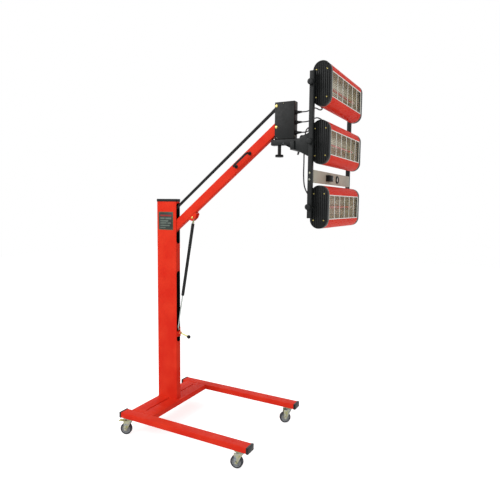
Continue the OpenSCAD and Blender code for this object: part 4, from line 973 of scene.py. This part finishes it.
def capShape(side):
    whole = bmesh.new()
    add(whole, carve(cutSheet(tombOutline(0), 21, 0, 1.0),
                     cutSheet(tombOutline(3.4), 20.5, 0, 0, shift(0, 0, -2.5))))
    add(whole, carve(cutSheet(tombOutline(0), 4.2, 0, 1.6),
                     cutSheet(tombOutline(3.2), 12, 0, 0, shift(0, 0, -4))), 0, shift(0, 0, 20.8))
    for k in range(8):
        x = middleX - 31.5 + k * 9
        reach = middleZ + math.sqrt(max(0, 37.5 ** 2 - (x - middleX) ** 2))
        add(whole, block((x - 2.7, -reach, 20), (x + 2.7, reach, 24.8), 1.3, "xyz", 3))
    add(whole, turned(((5.05, 12), (12, 12), (12, 24.6), (11, 26), (5.05, 26)), None, 40, True))
    for x in (8, 56):
        for z in (-58, 58):
            add(whole, rod((x, z, 18), (x, z, 24.6), 5, 24, 0.5))
            add(whole, panHead((x, z, 24.4), (0, 0, 1), 3.0), 1)
    turn = Matrix(((1, 0, 0, 0), (0, 0, side, 0), (0, 1, 0, 0), (0, 0, 0, 1)))
    whole.transform(shift(0, side * cassette["half"], 0) @ turn)
    if side > 0:
        ops.reverse_faces(whole, faces=whole.faces)
    return whole


def knobShape():
    whole = bmesh.new()
    add(whole, turned(((0, -1.5), (10, -1.5), (10, 0), (0, 0)), None, 36), 1)
    add(whole, turned(((0, 0), (8, 0), (8.6, 2), (11.8, 3), (12.6, 4.2), (12.6, 15.6), (11.6, 17.4),
                       (9.8, 18), (4, 18), (3.6, 17.2), (0, 17.2)), None, 48))
    knurl(whole, 20, 12.1, 4.4, 15.4, 1.35, 0.3)
    add(whole, rod((0, 0, -35), (0, 0, -1), 5, 28), 1)
    whole.transform(acrossY(-285.8))
    return whole


def grilleShape():
    whole = bmesh.new()
    half, high, low, top, middle = 224.7, 54.7, 69.6, 71.9, 70.75
    for side in (-1, 1):
        z, y = side * (high - 2), side * (half - 2)
        add(whole, block((low, -half, z - 2), (top, half, z + 2), 0.9, "y", 3))
        add(whole, block((low, y - 2, -high), (top, y + 2, high), 0.9, "z", 3))
    rows, columns = 14, 6
    # The level wires take slot 1, the darker copy of the wire that paints their shade
    for k in range(1, rows):
        z = 2 * high * k / rows - high
        add(whole, rod((middle - 0.4, 2 - half, z), (middle - 0.4, half - 2, z), 0.8, 8), 1)
    for k in range(1, columns):
        y = 2 * half * k / columns - half
        add(whole, rod((middle, y, 2 - high), (middle, y, high - 2), 1.25, 10))
    return whole


def lampShape():
    whole = bmesh.new()
    half, x = 204.7, 36
    add(whole, turned([(0, -half), (4, -half), (5, -203)] + [(5, -203 + 406 * k / 12) for k in range(1, 13)]
                      + [(4, half), (0, half)], towards((x, 0, 0), (0, 1, 0)), 28))
    for side in (-1, 1):
        place = towards((x, side * half, 0), (0, side, 0))
        socket = ((0, 0), (5.4, 0), (6.6, 0.6), (7, 1.4), (7, 14.8), (6.4, 16), (0, 16))
        add(whole, turned(socket, place, 32), 1)
        add(whole, turned(((7, 5), (7.5, 5.2), (7.5, 9.8), (7, 10)), place, 32, True), 2)
        add(whole, block((24, side * 212 - 2.2, -1.2), (31, side * 212 + 2.2, 1.2), 0.4), 2)
    return whole


for name, z in tiltHeights.items():
    body = name + "_cassette"
    place = shift(barX, 0, z)
    shell = housingShape()
    if name != "bottom":  # grommet of the lead
        face = -1 if name == "top" else 1
        add(shell, turned(((3.0, -1), (6, -1), (6, 1.2), (4.4, 2.2), (3.0, 2.6)),
                          towards((19.7, -200, 92.6 * face), (0, 0, face)), 24, True), 2)
    makePiece(name + "CassetteShell", body, [name + "_housing"], shell, "red", "trim", "plastic", place=place)
    caps = bmesh.new()
    for side in (-1, 1):
        add(caps, capShape(side), None)
    add(caps, rod((0, 250, 0), (0, 284, 0), 5, 28), 1)
    add(caps, rod((0, 284.4, 0), (0, 291.6, 0), 10, 36, 0.8))
    add(caps, hexHead((0, 291.5, 0), (0, 1, 0), 9, 0.6), 1)
    makePiece(name + "RibbedCaps", body, [name + "_end_caps"], caps, "plastic", "gold", place=place)
    makePiece(name + "Reflector", body, [name + "_reflector"], fromCad(name + "_reflector"), "mirror",
              sharp=30)
    makePiece(name + "WireGrille", body, [name + "_grille"], grilleShape(), "wire", "wireDark", place=place)
    makePiece(name + "RubyTube", body, [name + "_lamp_tube"], lampShape(), "ruby", "ceramic", "zinc",
              place=place)
    makePiece(name + "TiltKnob", name + "_tilt_knob", [name + "_tilt_knob"], knobShape(), "plastic", "zinc",
              place=place)
print("cassettes done")

# The pins in the mast keep their CAD shape
nodes["mast_pins"].data.materials.clear()
nodes["mast_pins"].data.materials.append(finishes["zinc"][0])


# Floor, backdrop and lights
studio = dict(floor=9.0, glow=0.68, world=0.55)


def seenDirectly(tree):
    # 1 for the camera, gloss and glass, which see plain white; 0 for light on the object
    ray = addNode(tree, "ShaderNodeLightPath")
    seen = addNode(tree, "ShaderNodeMath", {0: ray.outputs["Is Camera Ray"], 1: ray.outputs["Is Glossy Ray"]},
                   operation="MAXIMUM")
    seen = addNode(tree, "ShaderNodeMath", {0: seen.outputs[0], 1: ray.outputs["Is Transmission Ray"]},
                   operation="MAXIMUM")
    return seen.outputs[0]


world = bpy.data.worlds.new("studio")
bpy.context.scene.world = world
tree = emptyTree(world)
dim = addNode(tree, "ShaderNodeBackground", {"Color": (1, 1, 1, 1), "Strength": studio["world"]})
white = addNode(tree, "ShaderNodeBackground", {"Color": (1, 1, 1, 1), "Strength": 1.0})
mix = addNode(tree, "ShaderNodeMixShader", {0: seenDirectly(tree), 1: dim.outputs[0], 2: white.outputs[0]})
addNode(tree, "ShaderNodeOutputWorld", {"Surface": mix.outputs[0]})

ground = bpy.data.materials.new("paleStudioFloor")
tree = emptyTree(ground)
matt = addNode(tree, "ShaderNodeBsdfDiffuse", {"Color": (0.8, 0.8, 0.8, 1)})
glow = addNode(tree, "ShaderNodeEmission", {"Color": (1, 1, 1, 1), "Strength": studio["glow"]})
lit = addNode(tree, "ShaderNodeAddShader", {0: matt.outputs[0], 1: glow.outputs[0]})
mix = addNode(tree, "ShaderNodeMixShader", {0: seenDirectly(tree), 1: matt.outputs[0], 2: lit.outputs[0]})
addNode(tree, "ShaderNodeOutputMaterial", {"Surface": mix.outputs[0]})
flat = bmesh.new()
ops.create_grid(flat, x_segments=1, y_segments=1, size=studio["floor"])
floor = newObject("studioFloor", toMesh(flat, "studioFloor"))
floor.data.materials.append(ground)

for name, spot, aim, size, power in (("key", (-1.4, -3.0, 2.9), (0, 0, 1.0), 1.8, 72),
                                     ("fill", (3.0, -1.6, 1.7), (0, 0, 1.0), 2.0, 20),
                                     ("rim", (-1.5, 2.8, 2.6), (0, 0, 1.1), 1.6, 24)):
    lamp = newObject(name, bpy.data.lights.new(name, "AREA"))
    lamp.data.energy = power
    lamp.data.size = size
    lamp.location = spot
    lamp.rotation_euler = (Vector(aim) - Vector(spot)).to_track_quat("-Z", "Y").to_euler()
bpy.context.scene.view_settings.view_transform = "Standard"
print("stage done")
